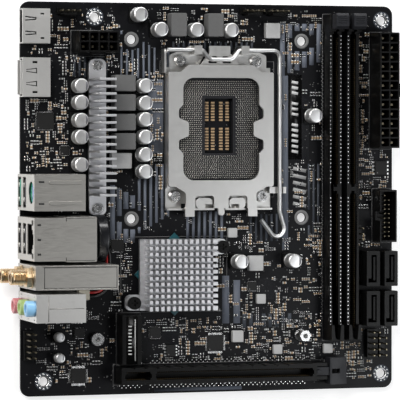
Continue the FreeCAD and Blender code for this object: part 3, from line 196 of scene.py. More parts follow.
def turned_pieces(name, profile, places, finish, sides=32, axis="z", body=ROOT,
                  stands_for=(), smooth=35.0):
    """Copies of a turned shape standing at places; axis x lays it along x."""
    points, quads, caps = turned_shape(profile, sides)
    if axis == "x":
        points = points[:, [2, 1, 0]] * [1, -1, 1]
    if axis == "-x":
        points = points[:, [2, 1, 0]] * [-1, 1, 1]
    places = np.asarray(places, float).reshape(-1, 3)
    caps = np.concatenate([caps, caps[:, -1:]], -1)
    every = np.concatenate([quads, caps])
    all_points, all_faces = repeated(points, every, places, 1.0)
    mesh = bpy.data.meshes.new(name)
    rows = [face[:3] if face[2] == face[3] else face for face in all_faces.tolist()]
    mesh.from_pydata((all_points * MM + CORNER).tolist(), [], rows)
    mesh.update()
    piece = bpy.data.objects.new(name, mesh)
    return settle(piece, finish, body, smooth, stands_for)


def softened(node, width, finish, slot=None, segments=2, angle=30.0, name=None):
    """Copy of a CAD node with its hard edges rounded by width millimetres."""
    source = frame["nodes"][node]
    mesh = source.data.copy()
    if "custom_normal" in mesh.attributes:
        mesh.attributes.remove(mesh.attributes["custom_normal"])
    work = bmesh.new()
    work.from_mesh(mesh)
    bmesh.ops.remove_doubles(work, verts=work.verts, dist=2e-6)
    bmesh.ops.dissolve_limit(work, angle_limit=math.radians(1.0), verts=work.verts, edges=work.edges)
    work.to_mesh(mesh)
    work.free()
    piece = bpy.data.objects.new(name or node + "_finished", mesh)
    slot = slot or next(s["material_slot"] for s in frame["record"]["subparts"] if s["node"] == node)
    body = next(b for b, nodes in frame["record"]["behaviour"]["bodies"].items() if node in nodes)
    settle(piece, finish, body, smooth=angle, stands_for=(node,))
    if not width:
        return piece
    edge = piece.modifiers.new("rounded edges", "BEVEL")
    edge.width = width * MM
    edge.segments = segments
    edge.limit_method = "ANGLE"
    edge.angle_limit = math.radians(angle)
    edge.harden_normals = True
    edge.use_clamp_overlap = True
    return piece


# ------------------------------------------------------------------ camera, floor and light
def camera():
    """Long lens high above the rear sockets' side, aimed a little rear of the board's middle."""
    eye = at(-275.4, 109.8, 1190.5)
    aim = at(81.1, 84.3, 0.0)
    data = bpy.data.cameras.new("camera")
    data.sensor_width = 36.0
    data.lens = 255.05
    data.clip_end = 20.0
    shot = bpy.data.objects.new("camera", data)
    bpy.context.scene.collection.objects.link(shot)
    back = (eye - aim) / np.linalg.norm(eye - aim)
    right = np.cross([0.0, 1.0, 0.0], back)
    right /= np.linalg.norm(right)
    up = np.cross(back, right)
    matrix = np.eye(4)
    matrix[:3, 0], matrix[:3, 1], matrix[:3, 2], matrix[:3, 3] = right, up, back, eye
    shot.matrix_world = Matrix(matrix.tolist())
    bpy.context.scene.camera = shot


def area_light(name, place, aim, size, watts, tint=(1, 1, 1)):
    """Soft square light at a place in millimetres, aimed at another."""
    data = bpy.data.lights.new(name, "AREA")
    data.shape = "RECTANGLE"
    data.size, data.size_y = size[0] * MM, size[1] * MM
    data.energy = watts
    data.color = tint
    lamp = bpy.data.objects.new(name, data)
    bpy.context.scene.collection.objects.link(lamp)
    here, there = at(*place), at(*aim)
    lamp.location = here
    lamp.rotation_euler = Vector(there - here).to_track_quat("-Z", "Y").to_euler()


def studio():
    """Pale floor under the lowest piece, an even white surround and three soft lights."""
    low = CAD_BOX[0][2]
    size = 2.4
    mesh = bpy.data.meshes.new("floor")
    mesh.from_pydata([(-size, -size, low), (size, -size, low), (size, size, low), (-size, size, low)],
                     [], [(0, 1, 2, 3)])
    floor = bpy.data.objects.new("floor", mesh)
    bpy.context.scene.collection.objects.link(floor)
    paper = bpy.data.materials.new("pale floor")
    paper.use_nodes = True
    shader = paper.node_tree.nodes["Principled BSDF"]
    shader.inputs["Base Color"].default_value = (0.6, 0.6, 0.6, 1)
    shader.inputs["Roughness"].default_value = 0.8
    shader.inputs["Emission Color"].default_value = (1, 1, 1, 1)
    shader.inputs["Emission Strength"].default_value = 0.62
    mesh.materials.append(paper)
    world = bpy.data.worlds.new("surround")
    world.use_nodes = True
    tree = world.node_tree
    where = add(tree, "ShaderNodeTexCoord")
    split = add(tree, "ShaderNodeSeparateXYZ")
    dome = add(tree, "ShaderNodeMapRange")
    dome.inputs["To Min"].default_value = 0.30
    dome.inputs["To Max"].default_value = 0.84
    tree.links.new(where.outputs["Generated"], split.inputs[0])
    tree.links.new(split.outputs["Z"], dome.inputs["Value"])
    tree.links.new(dome.outputs[0], tree.nodes["Background"].inputs["Strength"])
    bpy.context.scene.world = world
    middle = (85, 85, 5)
    area_light("key", (-350, 420, 620), middle, (420, 320), 5.0, (1.0, 0.99, 0.97))
    area_light("fill", (520, -120, 560), middle, (420, 420), 2.5, (0.96, 0.98, 1.0))
    area_light("rim", (120, 620, 260), middle, (600, 120), 2.0)
    bpy.context.scene.view_settings.view_transform = "Standard"


# ------------------------------------------------------------------ shared surface effects
def node_group(name, inputs, outputs):
    """A shader node group with named float or colour inputs and outputs."""
    group = bpy.data.node_groups.new(name, "ShaderNodeTree")
    kinds = {"f": "NodeSocketFloat", "c": "NodeSocketColor", "v": "NodeSocketVector"}
    for label, kind, value in inputs:
        socket = group.interface.new_socket(label, in_out="INPUT", socket_type=kinds[kind])
        if kind != "v":
            socket.default_value = value
    for label, kind in outputs:
        group.interface.new_socket(label, in_out="OUTPUT", socket_type=kinds[kind])
    first = group.nodes.new("NodeGroupInput")
    last = group.nodes.new("NodeGroupOutput")
    return group, first, last


def add(tree, kind, **values):
    """New node with its plain settings and its input values by name or number."""
    node = tree.nodes.new(kind)
    for key, value in values.items():
        if key.startswith("in_"):
            node.inputs[int(key[3:])].default_value = value
        else:
            setattr(node, key, value)
    return node


def cloudy_group():
    """Two sizes of noise on Object coordinates: a tint mask, and a fine height."""
    group, first, last = node_group(
        "cloudy", [("Coordinates", "v", None), ("Large", "f", 60.0), ("Fine", "f", 900.0),
                   ("Base", "c", (0.5, 0.5, 0.5, 1)), ("Variation", "f", 0.15)],
        [("Color", "c"), ("Mask", "f"), ("Height", "f")])
    link = group.links.new
    large = add(group, "ShaderNodeTexNoise")
    fine = add(group, "ShaderNodeTexNoise")
    large.inputs["Detail"].default_value = 4.0
    fine.inputs["Detail"].default_value = 3.0
    link(first.outputs["Coordinates"], large.inputs["Vector"])
    link(first.outputs["Coordinates"], fine.inputs["Vector"])
    link(first.outputs["Large"], large.inputs["Scale"])
    link(first.outputs["Fine"], fine.inputs["Scale"])
    both = add(group, "ShaderNodeMath", operation="MULTIPLY_ADD", in_1=0.5)
    link(large.outputs["Fac"], both.inputs[0])
    half = add(group, "ShaderNodeMath", operation="MULTIPLY", in_1=0.5)
    link(fine.outputs["Fac"], half.inputs[0])
    link(half.outputs[0], both.inputs[2])
    centred = add(group, "ShaderNodeMath", operation="SUBTRACT", in_1=0.5)
    link(both.outputs[0], centred.inputs[0])
    swing = add(group, "ShaderNodeMath", operation="MULTIPLY")
    link(centred.outputs[0], swing.inputs[0])
    link(first.outputs["Variation"], swing.inputs[1])
    gain = add(group, "ShaderNodeMath", operation="ADD", in_1=1.0)
    link(swing.outputs[0], gain.inputs[0])
    scaled = add(group, "ShaderNodeVectorMath", operation="SCALE")
    link(first.outputs["Base"], scaled.inputs[0])
    link(gain.outputs[0], scaled.inputs["Scale"])
    link(scaled.outputs[0], last.inputs["Color"])
    link(both.outputs[0], last.inputs["Mask"])
    link(fine.outputs["Fac"], last.inputs["Height"])
    return group


def brushed_group():
    """Long fine scratches along x: noise on coordinates squeezed along one axis."""
    group, first, last = node_group(
        "brushed", [("Coordinates", "v", None), ("Fine", "f", 300.0), ("Stretch", "f", 30.0)],
        [("Mask", "f")])
    link = group.links.new
    split = add(group, "ShaderNodeSeparateXYZ")
    join = add(group, "ShaderNodeCombineXYZ")
    link(first.outputs["Coordinates"], split.inputs[0])
    for axis in range(3):
        scale = add(group, "ShaderNodeMath", operation="MULTIPLY", in_1=1.0)
        link(split.outputs[axis], scale.inputs[0])
        if axis == 1:
            link(first.outputs["Stretch"], scale.inputs[1])
        link(scale.outputs[0], join.inputs[axis])
    noise = add(group, "ShaderNodeTexNoise")
    noise.inputs["Detail"].default_value = 3.0
    link(join.outputs[0], noise.inputs["Vector"])
    link(first.outputs["Fine"], noise.inputs["Scale"])
    link(noise.outputs["Fac"], last.inputs["Mask"])
    return group


CLOUDY = cloudy_group()
BRUSHED = brushed_group()


def finish(name, colour, roughness, metallic=0.0, variation=0.2, large=60.0, fine=1500.0,
           bump=0.02, spread=0.12, brushed=0.0, coat=0.0, specular=0.5):
    """Principled material with cloudy tint, uneven roughness, fine bump and optional brushing."""
    material = bpy.data.materials.new(name)
    material.use_nodes = True
    tree = material.node_tree
    link = tree.links.new
    shader = tree.nodes["Principled BSDF"]
    shader.inputs["Metallic"].default_value = metallic
    shader.inputs["Specular IOR Level"].default_value = specular
    shader.inputs["Coat Weight"].default_value = coat
    where = add(tree, "ShaderNodeTexCoord")
    cloudy = add(tree, "ShaderNodeGroup", node_tree=CLOUDY)
    cloudy.inputs["Large"].default_value = large
    cloudy.inputs["Fine"].default_value = fine
    cloudy.inputs["Base"].default_value = (*colour, 1.0)
    cloudy.inputs["Variation"].default_value = variation
    link(where.outputs["Object"], cloudy.inputs["Coordinates"])
    link(cloudy.outputs["Color"], shader.inputs["Base Color"])
    rough = add(tree, "ShaderNodeMapRange")
    rough.inputs["From Min"].default_value = 0.3
    rough.inputs["From Max"].default_value = 0.7
    rough.inputs["To Min"].default_value = max(0.02, roughness - spread / 2)
    rough.inputs["To Max"].default_value = min(1.0, roughness + spread / 2)
    mask = cloudy.outputs["Mask"]
    height = cloudy.outputs["Height"]
    if brushed:
        lines = add(tree, "ShaderNodeGroup", node_tree=BRUSHED)
        lines.inputs["Fine"].default_value = 260.0
        lines.inputs["Stretch"].default_value = brushed
        link(where.outputs["Object"], lines.inputs["Coordinates"])
        mask = lines.outputs["Mask"]
        height = lines.outputs["Mask"]
    link(mask, rough.inputs["Value"])
    link(rough.outputs[0], shader.inputs["Roughness"])
    if bump:
        relief = add(tree, "ShaderNodeBump")
        relief.inputs["Strength"].default_value = 0.6
        relief.inputs["Distance"].default_value = bump * MM
        link(height, relief.inputs["Height"])
        link(relief.outputs[0], shader.inputs["Normal"])
    return material


def grey(value):
    """Linear grey from a display value between 0 and 1."""
    return tuple([value ** 2.2] * 3)


def tint(red, green, blue):
    """Linear colour from display values between 0 and 1."""
    return tuple(v ** 2.2 for v in (red, green, blue))


FINISH = {
    "mask": finish("black solder mask", tint(0.085, 0.087, 0.095), 0.40, specular=0.12,
                   variation=0.5, large=45,
                   fine=1100, bump=0.012),
    "stripe": finish("slate print", tint(0.40, 0.42, 0.46), 0.5, variation=0.25, large=90, bump=0.01,
                     specular=0.2),
    "stripe_dark": finish("dark slate print", tint(0.26, 0.275, 0.30), 0.5, variation=0.25, large=90,
                          specular=0.15),
    "ink": finish("white print", grey(0.78), 0.6, variation=0.3, large=400, bump=0.008),
    "ink_mid": finish("pale grey print", grey(0.58), 0.6, variation=0.3, large=400, bump=0.008),
    "ink_grey": finish("grey print", grey(0.42), 0.6, variation=0.4, large=500, bump=0.008),
    "track": finish("covered copper track", tint(0.15, 0.153, 0.165), 0.38, variation=0.3, specular=0.15),
    "solder": finish("bright solder", grey(0.86), 0.28, metallic=1.0, variation=0.15, fine=2500),
    "gold": finish("gold plate", tint(0.84, 0.74, 0.60), 0.32, metallic=1.0, variation=0.12, large=300),
    "contact": finish("contact tips", tint(0.66, 0.65, 0.62), 0.35, metallic=0.9, variation=0.3),
    "plate_steel": finish("satin nickel plate", tint(0.86, 0.855, 0.845), 0.34, metallic=0.95,
                          variation=0.06,
                          large=25, fine=600, bump=0.0, spread=0.10),
    "wire_steel": finish("bright nickel wire", grey(0.90), 0.36, bump=0.0, metallic=1.0,
                         variation=0.1, large=200),
    "shell": finish("tinned shell sheet", tint(0.70, 0.69, 0.67), 0.38, metallic=0.9, variation=0.12,
                    large=30, bump=0.02, brushed=25.0),
    "shell_pale": finish("pale shell sheet", tint(0.81, 0.805, 0.795), 0.40, metallic=0.85,
                         variation=0.10, large=30, bump=0.015),
    "screw": finish("plated screw", grey(0.82), 0.26, metallic=1.0, variation=0.15, large=400),
    "aluminium": finish("blasted aluminium", tint(0.84, 0.84, 0.85), 0.40, metallic=0.9,
                        variation=0.10, large=60, fine=2600, bump=0.03),
    "can": finish("drawn aluminium can", grey(0.89), 0.36, metallic=0.85, variation=0.06, large=200,
                  bump=0.0),
    "can_mark": finish("can polarity print", tint(0.48, 0.48, 0.50), 0.5, variation=0.2, large=400),
    "plastic": finish("black moulded plastic", grey(0.075), 0.34, specular=0.16, variation=0.35,
                      large=120, bump=0.02),
    "plastic_grey": finish("charcoal moulded plastic", tint(0.15, 0.153, 0.165), 0.40,
                           specular=0.2, variation=0.2,
                           large=120, bump=0.02),
    "socket": finish("socket plastic", tint(0.16, 0.16, 0.17), 0.45, specular=0.2, variation=0.25,
                     large=200),
    "ferrite": finish("dark pressed ferrite", grey(0.36), 0.6, specular=0.25, variation=0.35,
                      large=700, fine=3500,
                      bump=0.05),
    "ferrite_pale": finish("grey pressed ferrite", grey(0.66), 0.6, variation=0.25, large=700,
                           fine=3500, bump=0.05),
    "epoxy": finish("moulded chip epoxy", grey(0.13), 0.5, specular=0.2, variation=0.3, large=500,
                    fine=3000),
    "carrier": finish("blue-green carrier", tint(0.10, 0.30, 0.33), 0.35, variation=0.3, large=200,
                      coat=0.3),
    "ceramic": finish("tan ceramic", tint(0.62, 0.52, 0.40), 0.45, variation=0.4, large=900),
    "resistor": finish("thick-film black", grey(0.12), 0.4, specular=0.25, variation=0.3, large=900),
    "film": finish("insulating film", grey(0.12), 0.35, variation=0.2),
    "wrap": finish("shrink wrap", tint(0.09, 0.095, 0.11), 0.3, variation=0.3, large=150, bump=0.06,
                   coat=0.3),
    "red": finish("red lead insulation", tint(0.62, 0.10, 0.10), 0.42, variation=0.2, large=300),
    "black": finish("black lead insulation", grey(0.11), 0.42, variation=0.2, large=300),
    "nylon": finish("natural nylon", tint(0.80, 0.77, 0.70), 0.45, variation=0.12, large=300),
    "pink": finish("pink collar", tint(0.84, 0.53, 0.55), 0.35, variation=0.12, large=200, coat=0.2),
    "lime": finish("lime collar", tint(0.68, 0.78, 0.50), 0.35, variation=0.12, large=200, coat=0.2),
    "blue": finish("blue collar", tint(0.55, 0.75, 0.90), 0.35, variation=0.12, large=200, coat=0.2),
    "teal": finish("teal plastic", tint(0.08, 0.52, 0.42), 0.4, variation=0.15, large=200),
    "violet": finish("violet plastic", tint(0.55, 0.62, 0.86), 0.4, variation=0.15, large=200),
    "card": finish("radio card", tint(0.06, 0.22, 0.14), 0.4, variation=0.3),
    "label": finish("black label film", grey(0.08), 0.25, variation=0.15, large=300, specular=0.2),
    # blade: gold darkened to stand for the shade inside the slot grooves (painted shade)
    "blade": finish("gilt blades darkened by painted groove shade", tint(0.33, 0.29, 0.22), 0.4, metallic=0.9, variation=0.3),
    # seam: dark grey painted as the shadow in the covers' seams and flap joints
    "seam": finish("painted seam shadow", grey(0.22), 0.6, variation=0.2, specular=0.2),
    # crease: sheet metal greyed darker than the cover, painted as the shade along its folds
    "crease": finish("painted crease shade", tint(0.60, 0.59, 0.575), 0.45, metallic=0.8, variation=0.1),
    "pin": finish("tinned header pins", tint(0.50, 0.47, 0.40), 0.32, metallic=0.95, variation=0.2),
    "paper": finish("white label", grey(0.85), 0.55, variation=0.08, large=300),
}



# ------------------------------------------------------------------ plain finished copies
LOOKS = {
    "board": ("mask", 0.12, 2), "socket_body": ("socket", 0.12, 2),
    "socket_contact_field": ("socket", 0.0, 0), "socket_capacitors": ("ceramic", 0.08, 1),
    "load_frame": ("plate_steel", 0.12, 2), "load_plate": ("plate_steel", 0.22, 3),
    "load_lever": ("wire_steel", 0.0, 0), "frame_screws": ("screw", 0.12, 2),
    "back_plate": ("plate_steel", 0.2, 2), "back_plate_insulator": ("film", 0.0, 0),
    "back_plate_posts": ("screw", 0.12, 1), "memory_slot_a": ("plastic", 0.12, 2),
    "memory_slot_b": ("plastic", 0.12, 2), "memory_latch_a": ("plastic_grey", 0.25, 2),
    "memory_latch_b": ("plastic_grey", 0.25, 2), "pcie_slot": ("plastic", 0.12, 2),
    "pcie_latch": ("plastic_grey", 0.25, 2), "atx_power_socket": ("plastic", 0.15, 2),
    "cpu_power_socket": ("plastic", 0.15, 2), "header_pins": ("pin", 0.09, 1),
    "fan_sockets": ("plastic", 0.12, 2), "pin_header_bases": ("plastic", 0.15, 2),
    "front_usb_socket": ("plastic", 0.12, 2), "sata_sockets": ("plastic", 0.12, 2),
    "hdmi_cover": ("shell_pale", 0.1, 2), "hdmi_insert": ("plastic", 0.1, 1),
    "displayport_cover": ("shell_pale", 0.1, 2), "displayport_insert": ("plastic", 0.1, 1),
    "keyboard_stack_cover": ("shell", 0.15, 2), "keyboard_stack_insert": ("plastic", 0.1, 1),
    "keyboard_socket": ("teal", 0.1, 1), "network_stack_cover": ("shell", 0.15, 2),
    "network_stack_insert": ("plastic", 0.1, 1), "wireless_bracket": ("shell", 0.15, 2),
    "wireless_card": ("card", 0.1, 1), "aerial_nuts": ("gold", 0.15, 2),
    "audio_cover": ("shell_pale", 0.15, 2), "audio_core": ("plastic", 0.1, 1),
    "capacitor_feet": ("plastic", 0.12, 2), "dark_chokes": ("ferrite", 0.3, 3),
    "light_chokes": ("ferrite_pale", 0.3, 3), "chips": ("epoxy", 0.1, 2),
    "switching_transistors": ("epoxy", 0.1, 1), "finned_cooler": ("aluminium", 0.15, 2),
    "cooler_screws": ("screw", 0.15, 2), "chipset": ("carrier", 0.08, 1),
    "pin_field_cooler": ("aluminium", 0.12, 1), "push_pins": ("plastic", 0.15, 2),
    "drive_socket": ("plastic", 0.12, 2), "drive_posts": ("screw", 0.12, 2),
    "coin_battery": ("wrap", 0.0, 0), "battery_lead_red": ("red", 0.0, 0),
    "battery_lead_black": ("black", 0.0, 0), "battery_plug": ("nylon", 0.25, 2),
}


def finished_copies():
    """Every plain node as a copy with its own finish, its edges bevelled where a width is given."""
    for node, (look, width, segments) in LOOKS.items():
        softened(node, width, FINISH[look], segments=max(1, segments))


# ------------------------------------------------------------------ which board area is taken
CELL = 0.25
COUNT = int(172 / CELL)


def taken_area():
    """Grid of cells under any part: every triangle's own box is marked, by summed corners."""
    marks = np.zeros((COUNT + 2, COUNT + 2), int)
    for node, source in frame["nodes"].items():
        if node in ("board", "back_plate", "back_plate_insulator"):
            continue
        mesh = source.data
        mesh.calc_loop_triangles()
        corner = np.empty(len(mesh.vertices) * 3, np.float32)
        mesh.vertices.foreach_get("co", corner)
        corner = (corner.reshape(-1, 3) - CORNER) / MM
        rows = np.empty(len(mesh.loop_triangles) * 3, np.int32)
        mesh.loop_triangles.foreach_get("vertices", rows)
        three = corner[rows.reshape(-1, 3)]
        three = three[three[..., 2].max(1) > TOP - 0.2]
        low = np.clip(((three[..., :2].min(1) - 0.35) / CELL).astype(int), 0, COUNT)
        high = np.clip(((three[..., :2].max(1) + 0.35) / CELL).astype(int) + 1, 0, COUNT)
        np.add.at(marks, (low[:, 0], low[:, 1]), 1)
        np.add.at(marks, (high[:, 0], low[:, 1]), -1)
        np.add.at(marks, (low[:, 0], high[:, 1]), -1)
        np.add.at(marks, (high[:, 0], high[:, 1]), 1)
    taken = marks.cumsum(0).cumsum(1) > 0
    edge = int(1.2 / CELL)
    taken[:edge] = True
    taken[:, :edge] = True
    taken[int((BOARD_X - 1.2) / CELL):] = True
    taken[:, int((BOARD_Y - 1.2) / CELL):] = True
    grid = (np.indices(taken.shape) + 0.5) * CELL
    for x, y, r in HOLES:
        taken |= (grid[0] - x) ** 2 + (grid[1] - y) ** 2 < (r + 2.4) ** 2
    return taken


BOARD_X, BOARD_Y = (BOARD_HIGH - BOARD_LOW)[:2] / MM
STANDOFFS = [(10.16, 6.35), (33.02, 163.83), (165.10, 163.83), (165.10, 6.35)]
COOLER_HOLES = [(88.5 + i * 39.0, 115.3 + j * 39.0) for i in (-1, 1) for j in (-1, 1)]
HOLES = [(x, y, 2.0) for x, y in STANDOFFS + COOLER_HOLES]
TAKEN = taken_area()


def claim(x, y, w, d, gap=0.2):
    """Takes a rectangle of the board for a small part; false where something is already there."""
    low = int(max(0, (x - w / 2 - gap) / CELL)), int(max(0, (y - d / 2 - gap) / CELL))
    high = int((x + w / 2 + gap) / CELL) + 1, int((y + d / 2 + gap) / CELL) + 1
    if TAKEN[low[0]:high[0], low[1]:high[1]].any():
        return False
    TAKEN[low[0]:high[0], low[1]:high[1]] = True
    return True


# ------------------------------------------------------------------ printed board
def clear_runs(x, w, y0, y1):
    """Parts of a stripe between y0 and y1 that keep clear of every hole's ring."""
    runs = [(y0, y1)]
    for hx, hy, r in HOLES:
        reach = (r + 2.6) ** 2 - max(0.0, abs(x - hx) - w / 2) ** 2
        if reach <= 0:
            continue
        half = math.sqrt(reach)
        kept = []
        for a, b in runs:
            kept += [(a, min(b, hy - half)), (max(a, hy + half), b)]
        runs = [(a, b) for a, b in kept if b - a > 0.4]
    return runs


def stripes(name, bands, finish):
    """Printed bars (x, width, y0, y1), a hundredth of a millimetre proud of the board."""
    places, sizes = [], []
    for x, w, y0, y1 in bands:
        for a, b in clear_runs(x, w, y0, y1):
            places.append((x, (a + b) / 2, TOP))
            sizes.append((w, b - a, 0.015))
    boxes(name, places, sizes, finish)


def board_print():
    """Slate stripes, bars and blocks of the printed pattern, and the rings round the holes."""
    bright = [(45 + 2.5 * k, 0.9, 134.0, 158.0 - 1.2 * k) for k in range(7)]
    bright += [(60.5, 6.8, 105.0, 137.0), (66.2, 1.1, 96.0, 150.0)]
    bright += [(41.0 + 3.0 * k, 2.2, 66.0, 91.0 - 1.5 * k) for k in range(4)]
    bright += [(53.0 + 2.6 * k, 1.2, 70.0 + 1.5 * k, 100.0) for k in range(6)]
    bright += [(75.0 + 2.6 * k, 1.2, 67.5, 79.2) for k in range(7)]
    bright += [(118.6 + 3.4 * k, 2.2, 139.0 + 1.2 * k, 162.0) for k in range(6)]
    bright += [(119.9, 2.8, 62.0, 139.0), (92.4, 3.2, 30.0, 51.0), (97.5, 3.0, 30.0, 49.0)]
    bright += [(79.8, 40.0, 0.8, 2.3)]
    stripes("slate_stripes", bright, FINISH["stripe"])
    dim = [(104.0 + 2.4 * k, 1.0, 66.0, 78.0) for k in range(6)]
    dim += [(131.0 + 2.2 * k, 1.0, 64.0, 100.0) for k in range(3)]
    dim += [(24.0 + 2.4 * k, 1.1, 138.0, 146.5) for k in range(7)]
    dim += [(68.5 + 2.4 * k, 1.0, 150.0, 153.6) for k in range(16)]
    dim += [(101.0 + 3.0 * k, 1.6, 28.0, 34.0) for k in range(8)]
    dim += [(152.6, 0.8, 86.0, 160.0), (154.2, 0.5, 86.0, 160.0)]
    stripes("dim_stripes", dim, FINISH["stripe_dark"])
    ring = np.radians(np.arange(0, 360, 30))
    dots = [(x + 3.15 * np.cos(a), y + 3.15 * np.sin(a), TOP)
            for x, y in STANDOFFS for a in ring]
    turned_pieces("standoff_dots", [(0, 0), (0.42, 0), (0.36, 0.05), (0, 0.09)], dots,
                  FINISH["solder"], sides=12)
    rings("standoff_rings", STANDOFFS, 2.35, 3.95, 0.02, FINISH["stripe_dark"])
    rings("standoff_plating", STANDOFFS, 2.02, 2.55, 0.03, FINISH["solder"])
    rings("cooler_rings", COOLER_HOLES, 2.06, 3.3, 0.015, FINISH["ink_grey"])


def rings(name, places, inner, outer, height, finish):
    """Flat rings: section (r, z) swept round, r from inner to outer, z from TOP up."""
    sides = 48
    a = np.linspace(0, 2 * np.pi, sides, endpoint=False)
    section = np.array([[inner, 0], [outer, 0], [outer, height], [inner, height]])
    points = np.stack([section[None, :, 0] * np.cos(a)[:, None],
                       section[None, :, 0] * np.sin(a)[:, None],
                       np.broadcast_to(section[None, :, 1], (sides, 4))], -1).reshape(-1, 3)
    k = np.arange(sides)[:, None]
    j = np.arange(4)[None]
    here, there = k * 4, (k + 1) % sides * 4
    faces = np.stack([here + j, there + j, there + (j + 1) % 4, here + (j + 1) % 4], -1)
    spots = [(x, y, TOP) for x, y in places]
    points, faces = repeated(points, faces.reshape(-1, 4)[:, ::-1], spots, 1.0)
    mesh_piece(name, points, faces, finish)


# ------------------------------------------------------------------ small surface parts
ZONES = [  # x0, x1, y0, y1, number of parts, chance of a tan part
    (2, 21, 97, 130, 46, 0.6), (12, 31, 5, 34, 34, 0.5), (100, 136, 12, 52, 70, 0.6),
    (153.2, 159.6, 84, 160, 34, 0.75), (52, 88, 26, 36, 26, 0.5), (40, 60, 36, 68, 22, 0.4),
    (86, 136, 54, 78, 44, 0.5), (116, 136, 148, 166, 16, 0.6), (140, 160, 4, 20, 26, 0.6),
    (152, 168, 24, 66, 22, 0.5), (64, 100, 150, 168, 26, 0.7), (38, 62, 96, 140, 40, 0.7),
    (18, 30, 96, 146, 18, 0.6), (64, 116, 82, 100, 10, 0.6), (60, 130, 14, 34, 44, 0.5),
    (2, 42, 142, 166, 26, 0.5), (118, 136, 80, 150, 12, 0.5), (156, 168, 84, 104, 12, 0.6),
    (2, 168, 14, 166, 120, 0.5)]


def small_parts():
    """Chip capacitors and resistors on a half-millimetre raster wherever the board is free."""
    claim(124.4, 120.7, 6.6, 37.6, -0.4)
    claim(126.6, 89.5, 7.0, 18.5, -0.4)
    kinds = {"tan": [], "black": []}
    for x0, x1, y0, y1, number, tan_share in ZONES:
        tries = rng.uniform((x0, y0), (x1, y1), (number * 5, 2))
        placed = 0
        for x, y in np.round(tries * 2) / 2:
            length, width = (1.6, 0.85) if rng.random() < 0.4 else (1.05, 0.55)
            turn = 90.0 if rng.random() < 0.5 else 0.0
            w, d = (width, length) if turn else (length, width)
            kind = "tan" if rng.random() < tan_share else "black"
            for k in range(rng.integers(1, 6)):
                px = x + k * (w + 0.45) * (turn > 0)
                py = y + k * (d + 0.45) * (turn == 0)
                if placed < number * 2.2 and claim(px, py, w, d, 0.1):
                    placed += 1
                    kinds[kind].append((px, py, length, width, turn))
    rows = [(135.5, 24.0 + 2.1 * k, 1.9, 1.2, 0.0) for k in range(5)]
    rows += [(156.6, 88.0 + 3.3 * k, 1.8, 1.1, 0.0) for k in range(20)]
    for row in rows:
        if claim(row[0], row[1], row[2], row[3], 0.0):
            kinds["tan"].append(row)
    for kind, look, slot, rise in (("tan", "ceramic", "tan_ceramic", 0.85),
                                   ("black", "resistor", "chip_epoxy", 0.5)):
        part = np.array(kinds[kind])
        spots = np.column_stack([part[:, :2], np.full(len(part), TOP + 0.04)])
        body = np.column_stack([part[:, 2] * 0.62, part[:, 3], part[:, 3] * rise])
        boxes(kind + "_bodies", spots, body, FINISH[look], part[:, 4], chamfer=True)
        turn = np.radians(part[:, 4])
        for side in (-1, 1):
            step = side * part[:, 2] * 0.4
            ends = spots + np.column_stack([step * np.cos(turn), step * np.sin(turn),
                                            np.zeros(len(part))])
            size = np.column_stack([part[:, 2] * 0.2, part[:, 3] * 1.04, part[:, 3] * rise * 1.04])
            boxes(kind + ("_ends_a" if side < 0 else "_ends_b"), ends, size, FINISH["solder"],
                  part[:, 4], chamfer=True)
            pads = ends + [0, 0, -0.04]
            size = np.column_stack([part[:, 2] * 0.34, part[:, 3] * 1.2, np.full(len(part), 0.06)])
            boxes(kind + ("_pads_a" if side < 0 else "_pads_b"), pads, size, FINISH["solder"],
                  part[:, 4])
    legends(np.array(kinds["tan"] + kinds["black"]))


def legends(parts):
    """Plain white dashes beside the parts, in place of printed names."""
    places, sizes = [], []
    for x, y, length, width, turn in parts[rng.random(len(parts)) < 0.85]:
        count = rng.integers(2, 5)
        across = turn < 45
        px, py = (x - 0.4 * count, y + width / 2 + 0.75) if across else (x + width / 2 + 0.75, y)
        span_x, span_y = (0.75 * count, 0.8) if across else (0.8, 0.75 * count)
        if not claim(px, py, span_x, span_y, 0.05):
            continue
        for k in range(count):
            shift = (k - (count - 1) / 2) * 0.72
            places.append((px + shift * across, py + shift * (not across), TOP))
            thick = rng.choice([0.22, 0.42])
            sizes.append((thick, 0.72, 0.012) if across else (0.72, thick, 0.012))
    boxes("printed_dashes", places, sizes, FINISH["ink"])


def outlines():
    """Thin grey frames printed round sockets, slots, the pin-field cooler and the battery plug."""
    places, sizes = [], []
    for node, gap in (("memory_slot_a", 0.4), ("memory_slot_b", 0.4), ("pcie_slot", 0.8),
                      ("atx_power_socket", 0.5), ("front_usb_socket", 0.5), ("drive_socket", 0.6),
                      ("cpu_power_socket", 0.6), ("pin_field_cooler", 0.9), ("battery_plug", 0.5),
                      ("socket_body", 5.2)):
        low, high = span(node)
        x0, y0, x1, y1 = low[0] - gap, low[1] - gap, high[0] + gap, high[1] + gap
        x0, y0 = max(x0, 0.8), max(y0, 0.8)
        x1, y1 = min(x1, BOARD_X - 0.8), min(y1, BOARD_Y - 0.8)
        places += [((x0 + x1) / 2, y0, TOP), ((x0 + x1) / 2, y1, TOP), (x0, (y0 + y1) / 2, TOP),
                   (x1, (y0 + y1) / 2, TOP)]
        sizes += [(x1 - x0, 0.2, 0.013), (x1 - x0, 0.2, 0.013), (0.2, y1 - y0, 0.013),
                  (0.2, y1 - y0, 0.013)]
    boxes("printed_frames", places, sizes, FINISH["ink_grey"])


